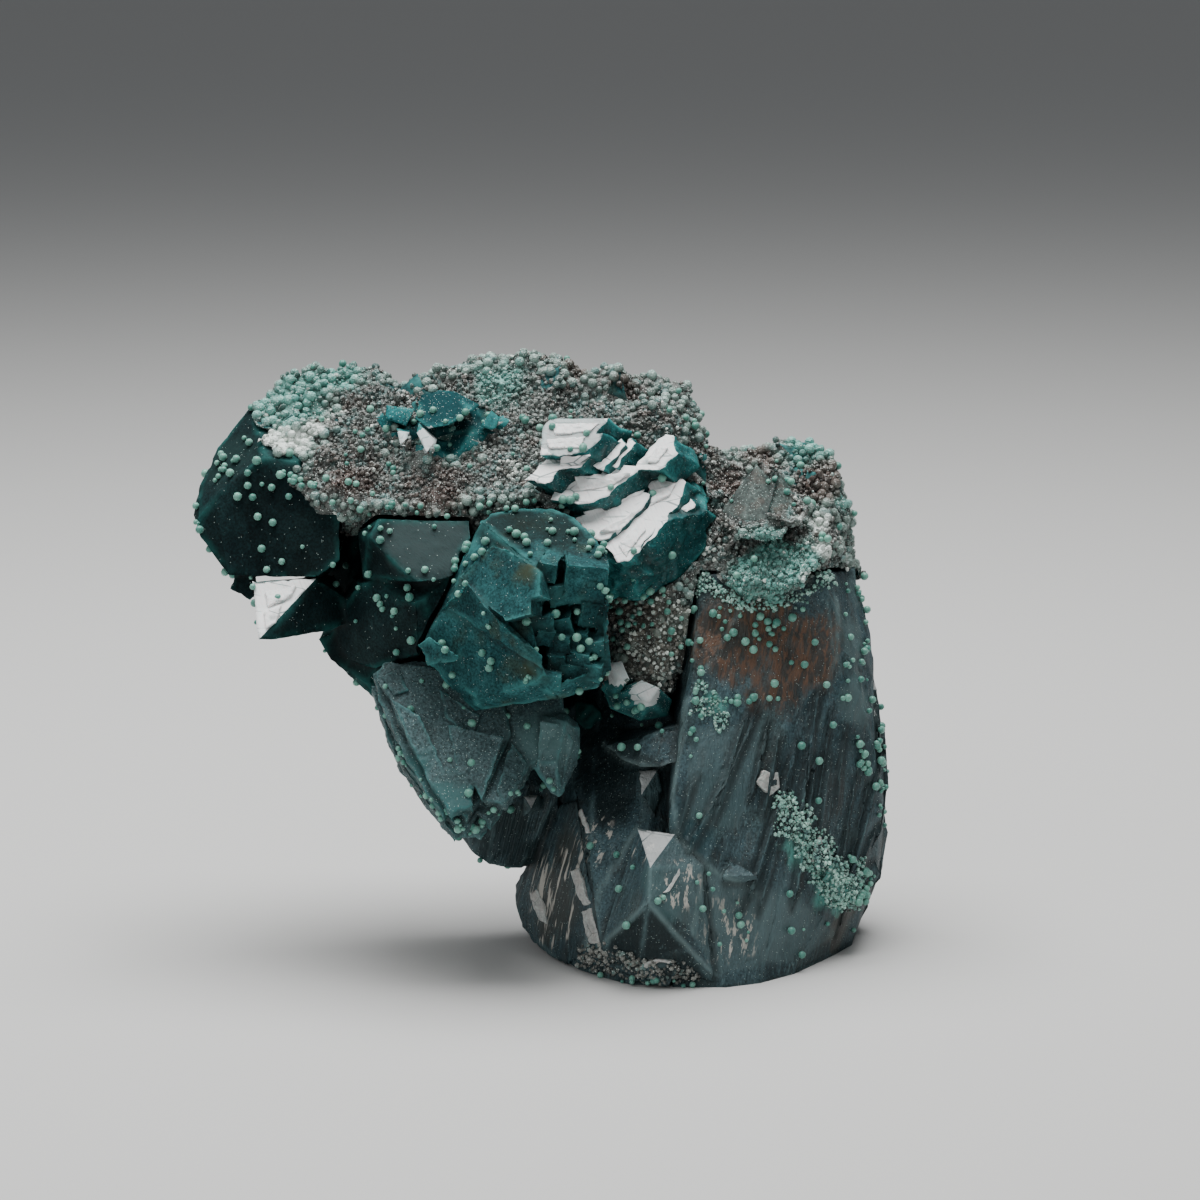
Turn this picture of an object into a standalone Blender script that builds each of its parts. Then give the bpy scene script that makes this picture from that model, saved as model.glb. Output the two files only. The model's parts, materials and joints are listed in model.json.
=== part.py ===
"""Apophyllite specimen: a standing crystal cut flat at its foot, an arm of grown crystals, and a druse crust.

Corners are given as they are seen from the front: across and up from the middle of the foot, and depth
behind the upright plane through it, all in millimetres. seen() turns them into places in the model.
"""

import math
import random

import bmesh
import bpy
from mathutils import Euler, Vector
from mathutils.bvhtree import BVHTree
from mathutils.geometry import intersect_line_plane

MM = 0.001

# Where the specimen is seen from
VIEW_TILT = math.radians(11)
VIEW_DISTANCE = 600.0
VIEW_MIDDLE = Vector((-13.6, 55.8))

# Clearance between two pieces that grew against each other
CLEARANCE = 0.45

# The stepped crystal: height of one growth step, and how deep each terrace reaches into the crystal
TERRACE_STEP = 1.5
TERRACE_DEPTH = 7.0

# The fan crystal: thickness of one of its plates
FAN_PLATE = 1.7

# The standing crystal: growth blades on its sides
BLADE_COUNT = 34
BLADE_WIDTH = 3.0
BLADE_RELIEF = 0.7
BLADE_SINK = 1.5

# The crust: grain of its surface, and size and height of its lumps
CRUST_GRAIN = 1.4
CRUST_SHARE_KEPT = 0.205
LUMP_SIZE = 4.6
LUMP_HEIGHT = 3.2

COLOURS = {
    "standing_crystal": (0.035, 0.075, 0.085, 1.0),
    "stepped_crystal": (0.030, 0.190, 0.195, 1.0),
    "pitted_crystal": (0.012, 0.115, 0.125, 1.0),
    "fan_crystal": (0.060, 0.180, 0.190, 1.0),
    "arm_end_crystals": (0.010, 0.080, 0.090, 1.0),
    "druse_crust": (0.180, 0.210, 0.190, 1.0),
}


def clear_scene():
    for item in list(bpy.data.objects):
        bpy.data.objects.remove(item, do_unlink=True)


def seen(across, up, depth):
    """The place that is seen this far across and up, at this depth behind the plane of the foot."""
    spread = 1 + depth / VIEW_DISTANCE
    x = VIEW_MIDDLE.x + spread * (across - VIEW_MIDDLE.x)
    rise = VIEW_MIDDLE.y + spread * (up - VIEW_MIDDLE.y)
    y = rise * math.sin(VIEW_TILT) + depth * math.cos(VIEW_TILT)
    z = rise * math.cos(VIEW_TILT) - depth * math.sin(VIEW_TILT)
    return Vector((x, y, z)) * MM


def facing(across, up, toward):
    """A direction given by its parts across the view, up it and toward the eye."""
    y = up * math.sin(VIEW_TILT) - toward * math.cos(VIEW_TILT)
    z = up * math.cos(VIEW_TILT) + toward * math.sin(VIEW_TILT)
    return Vector((across, y, z)).normalized()


EYE = seen(VIEW_MIDDLE.x, VIEW_MIDDLE.y, -VIEW_DISTANCE)


class Facet:
    """A flat crystal face through one place, with its outward direction."""

    def __init__(self, corner, outward, lift=0.0):
        self.outward = outward
        self.place = seen(*corner) + outward * lift * MM

    @classmethod
    def through(cls, first, second, third):
        a, b, c = seen(*first), seen(*second), seen(*third)
        outward = (b - a).cross(c - a).normalized()
        if outward.dot(EYE - a) < 0:
            outward = -outward
        return cls(first, outward)

    def under(self, across, up):
        """The place on the face that is seen this far across and up."""
        return intersect_line_plane(EYE, seen(across, up, 0), self.place, self.outward)


def object_of(name, body):
    mesh = bpy.data.meshes.new(name)
    body.to_mesh(mesh)
    body.free()
    item = bpy.data.objects.new(name, mesh)
    WORKSHOP.objects.link(item)
    return item


def hull(places, name="crystal"):
    """The flat-faced solid whose corners are the outermost of these places."""
    body = bmesh.new()
    for place in places:
        body.verts.new(place)
    made = bmesh.ops.convex_hull(body, input=body.verts)
    inside = [part for part in set(made["geom_interior"] + made["geom_unused"])
              if isinstance(part, bmesh.types.BMVert)]
    bmesh.ops.delete(body, geom=inside, context="VERTS")
    bmesh.ops.recalc_face_normals(body, faces=body.faces)
    return object_of(name, body)


def crystal(corners, name="crystal"):
    return hull([seen(*corner) for corner in corners], name)


def faceted(facets, corners, name="crystal"):
    """A crystal with some truly flat faces, each an outline on a plane, and its other corners."""
    places = [face.under(*point) for face, outline in facets for point in outline]
    return hull(places + [seen(*corner) for corner in corners], name)


def places_of(items):
    """The corners of each part, kept before the parts are joined, to leave room round them later."""
    return [[vertex.co.copy() for vertex in item.data.vertices] for item in items]


def room(places):
    """A hull that is larger than a part by the clearance on every side."""
    ways = [Vector(way) * CLEARANCE * MM for way in
            ((1, 0, 0), (-1, 0, 0), (0, 1, 0), (0, -1, 0), (0, 0, 1), (0, 0, -1))]
    return hull([place + way for place in places for way in ways], "room")


def plate(outline, face, into, name="plate"):
    """A flat plate: its outline lies on the face, and it reaches back from there by the vector."""
    body = bmesh.new()
    ring = [body.verts.new(face.under(*point)) for point in outline]
    lid = body.faces.new(ring)
    made = bmesh.ops.extrude_face_region(body, geom=[lid])
    moved = [part for part in made["geom"] if isinstance(part, bmesh.types.BMVert)]
    bmesh.ops.translate(body, verts=moved, vec=into * MM)
    bmesh.ops.recalc_face_normals(body, faces=body.faces)
    return object_of(name, body)


def block(place, size, turn, name="block"):
    """A small blocky crystal with its own width, depth, height and turn."""
    body = bmesh.new()
    bmesh.ops.create_cube(body, size=1.0)
    bmesh.ops.scale(body, verts=body.verts, vec=Vector(size) * MM)
    bmesh.ops.rotate(body, verts=body.verts, matrix=Euler(turn).to_matrix())
    bmesh.ops.translate(body, verts=body.verts, vec=place)
    return object_of(name, body)


def group_of(name, items):
    group = bpy.data.collections.new(name)
    bpy.context.scene.collection.children.link(group)
    group.hide_render = True
    for item in items:
        group.objects.link(item)
        WORKSHOP.objects.unlink(item)
        item.hide_render = True
        item.display_type = "WIRE"
    return group


def settled(item):
    """The object's shape with its modifiers worked in, and only its largest body kept."""
    graph = bpy.context.evaluated_depsgraph_get()
    mesh = bpy.data.meshes.new_from_object(item.evaluated_get(graph))
    item.modifiers.clear()
    old = item.data
    item.data = mesh
    bpy.data.meshes.remove(old)
    body = bmesh.new()
    body.from_mesh(mesh)
    bmesh.ops.remove_doubles(body, verts=body.verts, dist=0.001 * MM)
    bmesh.ops.dissolve_degenerate(body, edges=body.edges, dist=0.001 * MM)
    islands = sorted(connected_faces(body), key=len)
    for island in islands[:-1]:
        bmesh.ops.delete(body, geom=island, context="FACES")
    body.to_mesh(mesh)
    body.free()
    return item


def connected_faces(body):
    """Groups of faces that meet along clean edges, where just two faces meet."""
    waiting = set(body.faces)
    islands = []
    while waiting:
        border = [waiting.pop()]
        island = []
        while border:
            face = border.pop()
            island.append(face)
            for edge in face.edges:
                if len(edge.link_faces) != 2:
                    continue
                for other in edge.link_faces:
                    if other in waiting:
                        waiting.remove(other)
                        border.append(other)
        islands.append(island)
    return islands


def worked(item, operation, others):
    """The item after one Boolean with all the others, which are used up."""
    group = group_of(item.name + "_" + operation.lower(), others)
    step = item.modifiers.new(operation.title(), "BOOLEAN")
    step.operation = operation
    step.solver = "EXACT"
    step.operand_type = "COLLECTION"
    step.collection = group
    settled(item)
    for other in others:
        bpy.data.objects.remove(other, do_unlink=True)
    bpy.data.collections.remove(group)
    return item


def finished(item, name):
    """Gives the piece its node name and its material, and puts it with the specimen."""
    item.name = name
    item.data.name = name
    material = bpy.data.materials.new(name)
    material.use_nodes = True
    shader = material.node_tree.nodes["Principled BSDF"]
    shader.inputs["Base Color"].default_value = COLOURS[name]
    shader.inputs["Roughness"].default_value = 0.35 if name != "druse_crust" else 0.8
    shader.inputs["Metallic"].default_value = 0.0
    item.data.materials.clear()
    item.data.materials.append(material)
    WORKSHOP.objects.unlink(item)
    SPECIMEN.objects.link(item)
    return item


# The direction of the faces that catch the overhead light
GLEAM = facing(0.0, 0.67, 0.74)

# Standing crystal

# The upright line that the growth blades stand round, and the angles where they start and how far they go
COLUMN_MIDDLE = (14.0, 3.0)
BLADE_START = math.radians(-128)
BLADE_SWEEP = math.radians(262)
COLUMN = [
    (2.4, 60.0, -12.5), (12.0, 60.0, -13.0), (22.4, 60.0, -10.5), (27.2, 61.0, 2.0), (26.0, 62.0, 9.0),
    (15.2, 64.0, 11.0), (4.0, 63.0, 10.0), (0.8, 60.0, 2.0),
    (0.5, 39.8, -18.5), (24.2, 47.0, -11.5), (28.3, 41.1, -8.0), (29.3, 52.6, 2.0), (31.0, 39.8, 4.0),
    (29.2, 41.4, 12.0), (16.8, 43.0, 17.0), (2.4, 41.4, 16.0), (-2.4, 39.8, 6.0),
    (-2.1, 27.0, -20.0), (30.4, 32.6, -5.0), (31.8, 23.8, -2.0), (32.3, 30.2, 7.0), (32.3, 23.8, 8.0),
    (31.4, 11.8, 9.0), (31.0, 15.0, 0.5), (-2.7, 21.4, -21.0), (3.2, 13.4, -21.5),
    (-2.0, -6.4, -20.6), (6.7, -6.6, -20.8), (12.0, -5.6, -18.6), (17.4, -4.2, -13.8), (23.4, -1.3, -4.2),
    (26.5, 0.2, 2.0), (27.6, 3.5, 12.0), (25.0, 5.0, 20.0), (14.0, 6.5, 25.0), (-2.0, 7.0, 26.0),
]
LEFT_BODY = [
    (-20.0, 38.0, 2.0), (-13.6, 43.0, 0.0), (-5.6, 41.0, -4.0), (-2.0, 36.6, -8.0), (-20.0, 24.0, -4.0),
    (-16.8, 22.5, -8.5), (-8.8, 27.0, -10.5), (-6.0, 19.0, -15.5), (-5.6, 7.4, -19.5), (-13.6, 0.6, -18.0),
    (-15.5, 14.2, -15.0), (-13.0, -4.7, -15.6), (-8.8, -5.8, -19.3), (0.0, -6.4, -20.0),
    (-19.0, 40.0, 13.0), (-16.0, 25.0, 18.0), (0.0, 45.0, 15.0), (-12.0, 5.5, 22.0), (2.0, 6.0, 25.0),
]
LEFT_FACE = [
    (-27.4, 10.2, 3.0), (-27.3, 7.0, 1.0), (-26.4, 3.4, 0.0), (-24.6, 0.8, -1.0), (-19.4, -2.7, -9.4),
    (-13.1, -4.6, -15.7), (-13.6, 0.6, -17.5), (-15.8, 14.2, -14.5), (-17.4, 23.8, -9.0), (-20.0, 23.0, -6.0),
    (-22.6, 15.8, -3.5), (-26.4, 10.6, 8.0), (-23.0, 15.0, 8.0), (-24.5, 2.5, 8.0), (-20.0, 4.5, 17.0),
    (-20.0, 14.0, 17.0), (-12.0, 6.0, 22.0),
]
FRONT_CRYSTAL = [
    (-7.7, 19.4, -20.2), (-1.6, 18.4, -21.0), (-5.6, 13.0, -26.0), (3.2, 13.4, -21.6), (0.8, 3.0, -24.0),
    (-3.7, 6.2, -26.6), (-5.9, 7.4, -27.5), (-13.6, 0.6, -18.2), (-13.6, -0.2, -18.2), (-7.2, -1.6, -22.0),
    (4.8, -4.2, -21.2), (4.6, -5.6, -20.9), (-7.2, -4.5, -20.3), (-9.0, 12.0, -12.0), (2.0, 12.0, -12.0),
]
UNDERHANG = [
    (-37.2, 19.4, -3.0), (-33.8, 15.0, -6.0), (-31.4, 13.4, -6.0), (-26.4, 12.6, -4.0), (-22.8, 14.4, -2.0),
    (-20.0, 18.6, -2.0), (-20.0, 25.4, -6.0), (-30.0, 27.0, -11.0), (-37.0, 23.8, -6.0), (-34.0, 17.6, 9.0),
    (-23.0, 14.4, 12.0), (-18.0, 24.0, 15.0), (-34.0, 29.0, 9.0), (-20.0, 36.0, 12.0), (-16.0, 34.0, 2.0),
]
LEDGE = [
    (-13.1, 32.6, -14.0), (-10.4, 30.2, -17.0), (-7.2, 29.0, -19.0), (-4.0, 29.0, -19.2), (-1.6, 29.9, -19.0),
    (-1.1, 35.8, -16.0), (-4.0, 35.0, -17.0), (-7.2, 33.1, -17.0), (-10.0, 35.0, -4.0), (-1.0, 37.0, -4.0),
    (-2.0, 30.5, -4.0), (-11.0, 31.5, -6.0),
]
LEDGE_WEDGE = [
    (-7.7, 28.9, -13.4), (-4.2, 28.9, -13.4), (-7.0, 24.6, -17.2), (-3.4, 25.4, -14.0), (-4.8, 21.4, -14.5),
    (-6.0, 27.0, -4.0), (-3.0, 23.0, -6.0),
]
SMALL_WEDGES = [
    [(7.0, 14.6, -20.5), (12.0, 11.6, -20.8), (5.6, 11.3, -22.5), (6.4, 9.8, -19.0), (12.0, 10.6, -19.0),
     (9.0, 13.6, -17.0)],
    [(11.7, 27.4, -17.2), (15.2, 28.6, -15.4), (13.0, 30.6, -15.6), (15.0, 26.0, -17.0), (12.4, 25.6, -16.8),
     (14.0, 27.6, -12.0)],
    [(20.3, 15.2, -14.0), (22.4, 19.0, -11.8), (23.4, 14.0, -12.6), (21.6, 12.6, -14.2), (22.0, 15.0, -8.0)],
    [(24.0, 8.2, -8.5), (28.6, 6.8, -4.0), (31.4, 12.0, 1.0), (30.0, 15.8, 0.0), (24.0, 15.0, -10.0),
     (22.0, 11.0, -12.0), (26.0, 9.0, 6.0)],
    [(-5.0, -2.0, -22.2), (-2.0, -2.2, -22.8), (-1.0, -3.4, -22.6), (-6.0, -3.4, -22.0), (-8.0, -5.6, -20.4),
     (-2.5, -6.2, -21.4), (-13.0, -2.4, -18.0), (-4.0, -1.4, -18.0)],
    [(26.0, 7.2, 0.0), (27.6, 4.6, 4.0), (24.8, 1.4, 1.0), (23.5, -1.0, -1.0), (22.0, 4.0, -4.0),
     (22.0, 4.0, 8.0)],
    [(-25.9, 24.4, -12.0), (-23.5, 24.7, -11.8), (-24.6, 22.4, -14.0), (-23.0, 22.4, -11.0),
     (-26.0, 21.0, -8.0), (-22.0, 24.0, -4.0)],
]
# Blocky crystals on the back of the column: middle and size in millimetres, and turn
BACK_CRYSTALS = [
    ((17.0, 22.0, 20.0), (11.0, 8.0, 24.0), (0.08, 0.05, 0.35)),
    ((3.5, 22.5, 10.0), (9.0, 7.0, 26.0), (0.05, -0.08, -0.25)),
    ((9.0, 24.0, 5.0), (7.0, 5.0, 15.0), (0.1, 0.12, 0.1)),
    ((-9.0, 18.0, 8.0), (10.0, 6.0, 24.0), (0.05, 0.1, 0.2)),
]


def side_of(item, middle):
    """A lookup of the place on the item's side, by the angle round an upright line and the height."""
    body = bmesh.new()
    body.from_mesh(item.data)
    tree = BVHTree.FromBMesh(body)
    body.free()

    def at(angle, height):
        way = Vector((math.cos(angle), math.sin(angle), 0))
        start = (Vector((middle[0], middle[1], height)) + way * 100) * MM
        place, outward, _, _ = tree.ray_cast(start, -way)
        return place, outward
    return at


def blade(side, top, foot, width, relief):
    """One thin growth blade that lies on the crystal's side from its top to its foot."""
    along = (side(*foot)[0] - side(*top)[0]).normalized()
    places = []
    for share, spread in ((0.0, 0.0), (0.12, 0.5), (0.45, 0.7), (0.85, 0.5), (1.0, 0.0)):
        angle = top[0] + (foot[0] - top[0]) * share
        height = top[1] + (foot[1] - top[1]) * share
        place, outward = side(angle, height)
        aside = along.cross(outward).normalized() * width * spread * MM
        rise = outward * relief * (0.3 + spread) * MM
        sink = -outward * BLADE_SINK * MM
        if spread:
            places += [place + aside * 0.4 + rise, place - aside + sink, place + aside + sink]
        else:
            places += [place + sink * 0.2, place + sink]
    return hull(places, "blade")


def side_blades(dice, side):
    """Growth blades that run down the sides of the column and fan out toward its left foot."""
    blades = []
    for number in range(BLADE_COUNT):
        share = (number + 0.5) / BLADE_COUNT
        angle = BLADE_START + BLADE_SWEEP * share
        height = 44.0 - 24.0 * dice.random()
        length = 14.0 + 14.0 * dice.random()
        lean = math.radians(0.3 + 0.6 * dice.random() + 0.9 * min(share * 2, 1.0)) * length
        foot = (angle - lean, max(height - length, 1.5))
        width = BLADE_WIDTH * (0.6 + 0.8 * dice.random())
        relief = BLADE_RELIEF * (0.5 + dice.random())
        blades.append(blade(side, (angle, height), foot, width, relief))
    return blades


def standing_crystal():
    dice = random.Random(11)
    body = crystal(COLUMN, "column")
    parts = [crystal(corners) for corners in
             (LEFT_BODY, LEFT_FACE, FRONT_CRYSTAL, UNDERHANG, LEDGE, LEDGE_WEDGE)]
    places = places_of([body] + parts)
    parts += [crystal(corners) for corners in SMALL_WEDGES]
    parts += [block(Vector(place) * MM, size, turn) for place, size, turn in BACK_CRYSTALS]
    parts += side_blades(dice, side_of(body, COLUMN_MIDDLE))
    worked(body, "UNION", parts)
    saw = block(Vector((0, 0, -20)) * MM, (160, 160, 40), (0, 0, 0), "saw")
    worked(body, "DIFFERENCE", [saw])
    return body, places


# Stepped crystal

STEPPED_TIP = (-10.4, 61.9, -24.0)
STEPPED_BODY = [
    (-12.6, 62.0, -21.5), (-8.8, 61.9, -23.2), (-2.7, 68.3, -18.6), (3.8, 69.9, -13.0), (2.9, 64.2, -12.5),
    (0.8, 60.6, -12.5), (-1.6, 59.0, -13.5), (-7.2, 55.8, -15.5), (-12.0, 55.8, -15.5), (-18.0, 68.0, -16.0),
    (-24.0, 76.0, -8.0), (-19.0, 83.0, -2.0), (-4.0, 81.0, -3.0), (0.0, 78.0, -4.0), (3.0, 74.0, -6.0),
    (-20.0, 72.0, 6.0), (0.0, 70.0, 6.0), (-14.0, 60.0, 2.0), (-2.0, 62.0, 2.0),
]
# The way the terraces reach into the crystal
TERRACE_INTO = Vector((0.52, 0.62, -0.42))
# Each terrace: its level in growth steps above the lowest, and its outline
TERRACES = [
    (5.6, [(-23.2, 79.0), (-23.2, 82.7), (-21.6, 84.8), (-12.3, 84.8), (-14.2, 82.3), (-12.8, 82.3),
           (-15.5, 79.2)]),
    (4.6, [(-25.8, 75.0), (-20.8, 79.6), (-14.0, 79.4), (-16.4, 77.0), (-20.0, 76.6), (-22.4, 74.2)]),
    (3.5, [(-14.6, 77.0), (-11.4, 80.6), (-10.4, 81.4), (-9.6, 80.4), (-13.0, 76.4)]),
    (3.0, [(-12.4, 77.2), (-8.6, 81.6), (-7.6, 81.0), (-11.0, 76.8)]),
    (2.4, [(-19.7, 76.2), (-13.6, 77.1), (-7.8, 77.1), (-5.9, 80.2), (-3.2, 82.1), (-2.1, 81.9),
           (-1.0, 79.5), (-4.0, 76.6), (-7.6, 76.6), (-12.4, 72.6), (-14.6, 71.4), (-17.6, 71.2),
           (-21.6, 71.8)]),
    (0.5, [(-18.2, 68.8), (-13.6, 70.8), (-10.9, 71.4), (-9.6, 72.6), (-7.2, 73.4), (-5.3, 72.6),
           (-8.4, 68.6), (-12.0, 65.6), (-13.6, 65.4)]),
    (0.0, [(-13.2, 65.2), (-11.8, 65.6), (-8.6, 68.4), (-5.2, 72.4), (-6.4, 74.6), (-1.0, 75.3), (0.2, 74.6),
           (-0.4, 72.6), (-2.8, 69.0), (-5.6, 66.2), (-8.8, 62.0), (-10.4, 61.8), (-12.6, 64.0)]),
    (-1.2, [(-3.0, 67.6), (0.0, 70.6), (0.4, 69.8), (-1.6, 67.4)]),
    (-0.8, [(-0.6, 70.4), (1.0, 72.0), (1.6, 71.2), (0.2, 69.6)]),
]


def stepped_crystal():
    body = crystal(STEPPED_BODY, "stepped")
    terraces = [plate(outline, Facet(STEPPED_TIP, GLEAM, level * TERRACE_STEP), TERRACE_INTO * TERRACE_DEPTH)
                for level, outline in TERRACES]
    places = places_of([body] + terraces)
    worked(body, "UNION", terraces)
    return body, places


# Pitted crystal

PITTED_TOP = [
    (-32.8, 68.6), (-31.2, 69.9), (-26.4, 70.8), (-21.0, 70.6), (-17.6, 69.2), (-12.6, 64.2), (-12.5, 62.6),
    (-20.3, 62.0), (-23.2, 60.6),
]
PITTED_TOP_CORNERS = [(-23.2, 60.6, -34.6), (-32.8, 68.6, -25.0), (-12.6, 64.2, -29.4)]
PITTED_LOWER = [
    (-39.2, 54.2), (-36.0, 57.8), (-29.6, 50.0), (-22.9, 43.8), (-24.0, 42.6), (-33.1, 39.8), (-36.8, 42.4),
    (-41.1, 45.2), (-42.7, 47.8),
]
PITTED_LOWER_CORNERS = [(-36.0, 57.8, -29.6), (-22.9, 43.8, -36.8), (-33.1, 39.8, -28.5)]
PITTED_BODY = [
    (-12.4, 55.8, -32.0), (-12.4, 44.0, -31.5), (-13.9, 41.4, -30.0), (-20.0, 39.8, -31.0),
    (-29.6, 38.4, -27.0), (-33.6, 37.9, -24.0), (-36.3, 59.5, -28.0), (-30.0, 63.0, -3.0),
    (-16.0, 62.0, -4.0), (-14.0, 47.0, -6.0), (-34.0, 46.0, -3.0), (-33.0, 58.0, -1.0),
]
PIT = [
    (-24.0, 60.0, -29.0), (-20.6, 62.0, -29.0), (-14.0, 59.0, -29.0), (-13.4, 46.0, -28.0),
    (-21.6, 42.6, -29.0), (-22.6, 50.0, -29.5), (-24.4, 53.0, -31.0),
    (-24.6, 60.6, -45.0), (-19.6, 64.0, -45.0), (-11.0, 60.0, -45.0), (-11.0, 44.0, -45.0),
    (-20.6, 41.0, -45.0), (-22.4, 50.0, -45.0), (-25.6, 53.0, -45.0),
]
# Blocks in and around the pit: middle, and width across, up and in depth
PIT_BLOCKS = [
    ((-16.2, 59.2, -31.0), (6.8, 6.8, 6.0)), ((-15.0, 54.4, -29.6), (4.6, 4.4, 5.0)),
    ((-20.2, 57.0, -31.0), (3.6, 3.6, 5.0)), ((-21.6, 61.4, -32.0), (3.4, 3.2, 6.0)),
    ((-22.8, 52.6, -31.5), (3.8, 3.2, 5.0)), ((-19.4, 52.4, -30.0), (3.2, 2.8, 4.6)),
    ((-22.4, 50.4, -31.5), (3.0, 2.8, 4.6)), ((-19.8, 49.4, -30.6), (3.4, 3.0, 5.0)),
    ((-16.4, 50.0, -30.2), (3.2, 2.6, 5.0)), ((-14.2, 48.8, -30.6), (3.2, 3.0, 4.6)),
    ((-16.6, 47.2, -31.0), (3.6, 2.8, 4.6)), ((-20.6, 46.8, -31.0), (3.2, 2.8, 5.0)),
    ((-18.2, 44.8, -30.6), (4.4, 2.8, 4.6)), ((-14.6, 45.0, -30.8), (3.4, 3.2, 4.4)),
    ((-13.4, 52.0, -29.0), (2.0, 2.2, 4.0)), ((-12.9, 47.4, -29.6), (1.8, 5.0, 5.0)),
    ((-24.6, 54.4, -33.2), (3.6, 3.0, 4.0)), ((-21.2, 43.4, -33.0), (3.0, 2.4, 5.0)),
]
PITTED_OVERLAY = [
    (-42.9, 48.6, -26.0), (-41.2, 45.2, -27.6), (-36.4, 46.0, -31.4), (-36.0, 46.9, -31.6),
    (-37.6, 47.9, -31.0), (-41.0, 50.0, -27.6), (-40.0, 47.6, -22.0), (-37.0, 47.0, -24.0),
]
PITTED_RIDGE = [
    (-39.0, 54.6, -26.6), (-34.9, 58.7, -32.0), (-32.6, 55.4, -34.4), (-28.8, 51.4, -37.2),
    (-22.6, 46.8, -38.0), (-22.8, 44.6, -37.4), (-28.0, 48.0, -35.6), (-35.0, 54.0, -30.0),
    (-30.0, 52.0, -26.0), (-24.0, 46.0, -28.0),
]
# The raised upper left face, on the plane through three of its corners
PITTED_FACE_CORNERS = [(-36.3, 59.5, -29.8), (-23.0, 60.6, -36.8), (-28.8, 52.3, -37.6)]
PITTED_FACE = [
    (-36.3, 59.5), (-32.8, 63.0), (-31.2, 64.6), (-28.8, 64.3), (-23.2, 60.6), (-23.0, 56.2), (-24.6, 55.8),
    (-24.6, 53.4), (-28.8, 52.3), (-32.8, 55.8),
]


def pitted_crystal():
    facets = [(Facet.through(*PITTED_TOP_CORNERS), PITTED_TOP),
              (Facet.through(*PITTED_LOWER_CORNERS), PITTED_LOWER)]
    body = faceted(facets, PITTED_BODY, "pitted")
    raised = plate(PITTED_FACE, Facet.through(*PITTED_FACE_CORNERS), facing(-0.3, 0.1, 0.95) * -6.0)
    parts = [crystal(PITTED_OVERLAY), crystal(PITTED_RIDGE), raised]
    dice = random.Random(5)
    for (across, up, depth), (wide, high, deep) in PIT_BLOCKS:
        turn = (VIEW_TILT + 0.12 * dice.uniform(-1, 1), 0.25 * dice.uniform(-1, 1), 0.2 * dice.uniform(-1, 1))
        parts.append(block(seen(across, up, depth), (wide, deep, high), turn))
    places = places_of([body] + parts)
    worked(body, "DIFFERENCE", [crystal(PIT, "pit")])
    worked(body, "UNION", parts)
    return body, places


# Fan crystal

FAN_TIP = (-37.3, 21.9, -31.0)
FAN_FACE = facing(0.12, 0.50, 0.86)
# Each layer: how many plates it lies behind the front, and its outline
FAN_LAYERS = [
    (0.0, [(-49.4, 44.3), (-48.0, 45.8), (-41.6, 45.2), (-30.0, 43.0), (-28.0, 34.6), (-32.4, 24.0),
           (-34.4, 26.8), (-34.0, 23.0), (-37.3, 21.9), (-40.5, 26.2), (-43.2, 31.5), (-47.2, 39.8)]),
    (0.35, [(-33.0, 43.0), (-20.0, 43.0), (-18.9, 36.3), (-20.4, 31.8), (-24.8, 29.6), (-26.6, 26.4),
            (-29.0, 23.2), (-32.2, 23.6), (-33.0, 30.0)]),
    (1.0, [(-50.0, 44.0), (-44.0, 46.0), (-26.0, 44.0), (-25.6, 30.0), (-30.4, 22.4), (-33.0, 24.0),
           (-34.9, 20.9), (-37.4, 23.0), (-38.6, 21.4), (-41.8, 25.8), (-45.2, 32.0), (-48.4, 39.0)]),
    (2.0, [(-49.4, 43.0), (-40.0, 45.0), (-24.0, 42.0), (-27.0, 27.0), (-31.2, 20.2), (-33.2, 22.0),
           (-35.2, 18.9), (-37.6, 20.6), (-41.0, 24.4), (-45.6, 31.0)]),
    (3.0, [(-50.2, 42.0), (-40.0, 44.0), (-26.0, 42.0), (-29.0, 25.0), (-32.8, 18.4), (-34.6, 19.6),
           (-37.0, 18.2), (-42.6, 25.6), (-46.8, 32.0)]),
    (4.0, [(-48.8, 41.6), (-40.0, 43.0), (-28.0, 42.0), (-30.0, 24.0), (-33.6, 19.0), (-37.2, 18.8),
           (-42.0, 24.0), (-46.4, 31.0)]),
    (5.0, [(-49.0, 40.6), (-40.0, 43.0), (-28.0, 42.0), (-30.0, 26.0), (-35.0, 19.6), (-41.6, 24.6)]),
]
FAN_WING = [
    (-18.9, 36.4, -23.0), (-16.8, 35.0, -20.5), (-16.8, 32.6, -21.0), (-17.4, 29.4, -21.6),
    (-19.7, 24.6, -25.0), (-20.5, 24.3, -25.4), (-21.6, 25.0, -24.8), (-24.6, 29.4, -23.6),
    (-20.6, 30.0, -25.2), (-19.0, 38.0, -18.0), (-17.4, 33.0, -13.0), (-20.0, 26.0, -15.0),
    (-26.0, 34.0, -14.0), (-26.0, 38.0, -18.0),
]


def fan_crystal():
    into = -FAN_FACE * FAN_PLATE * 1.3 + Vector((0.35, 0.0, -0.15))
    layers = [plate(outline, Facet(FAN_TIP, FAN_FACE, -behind * FAN_PLATE), into)
              for behind, outline in FAN_LAYERS]
    layers.append(crystal(FAN_WING, "wing"))
    places = places_of(layers)
    body = worked(layers[0], "UNION", layers[1:])
    return body, places


# Crystals at the end of the arm

SHOULDER_LEAN = facing(0.05, 0.55, 0.83)

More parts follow.
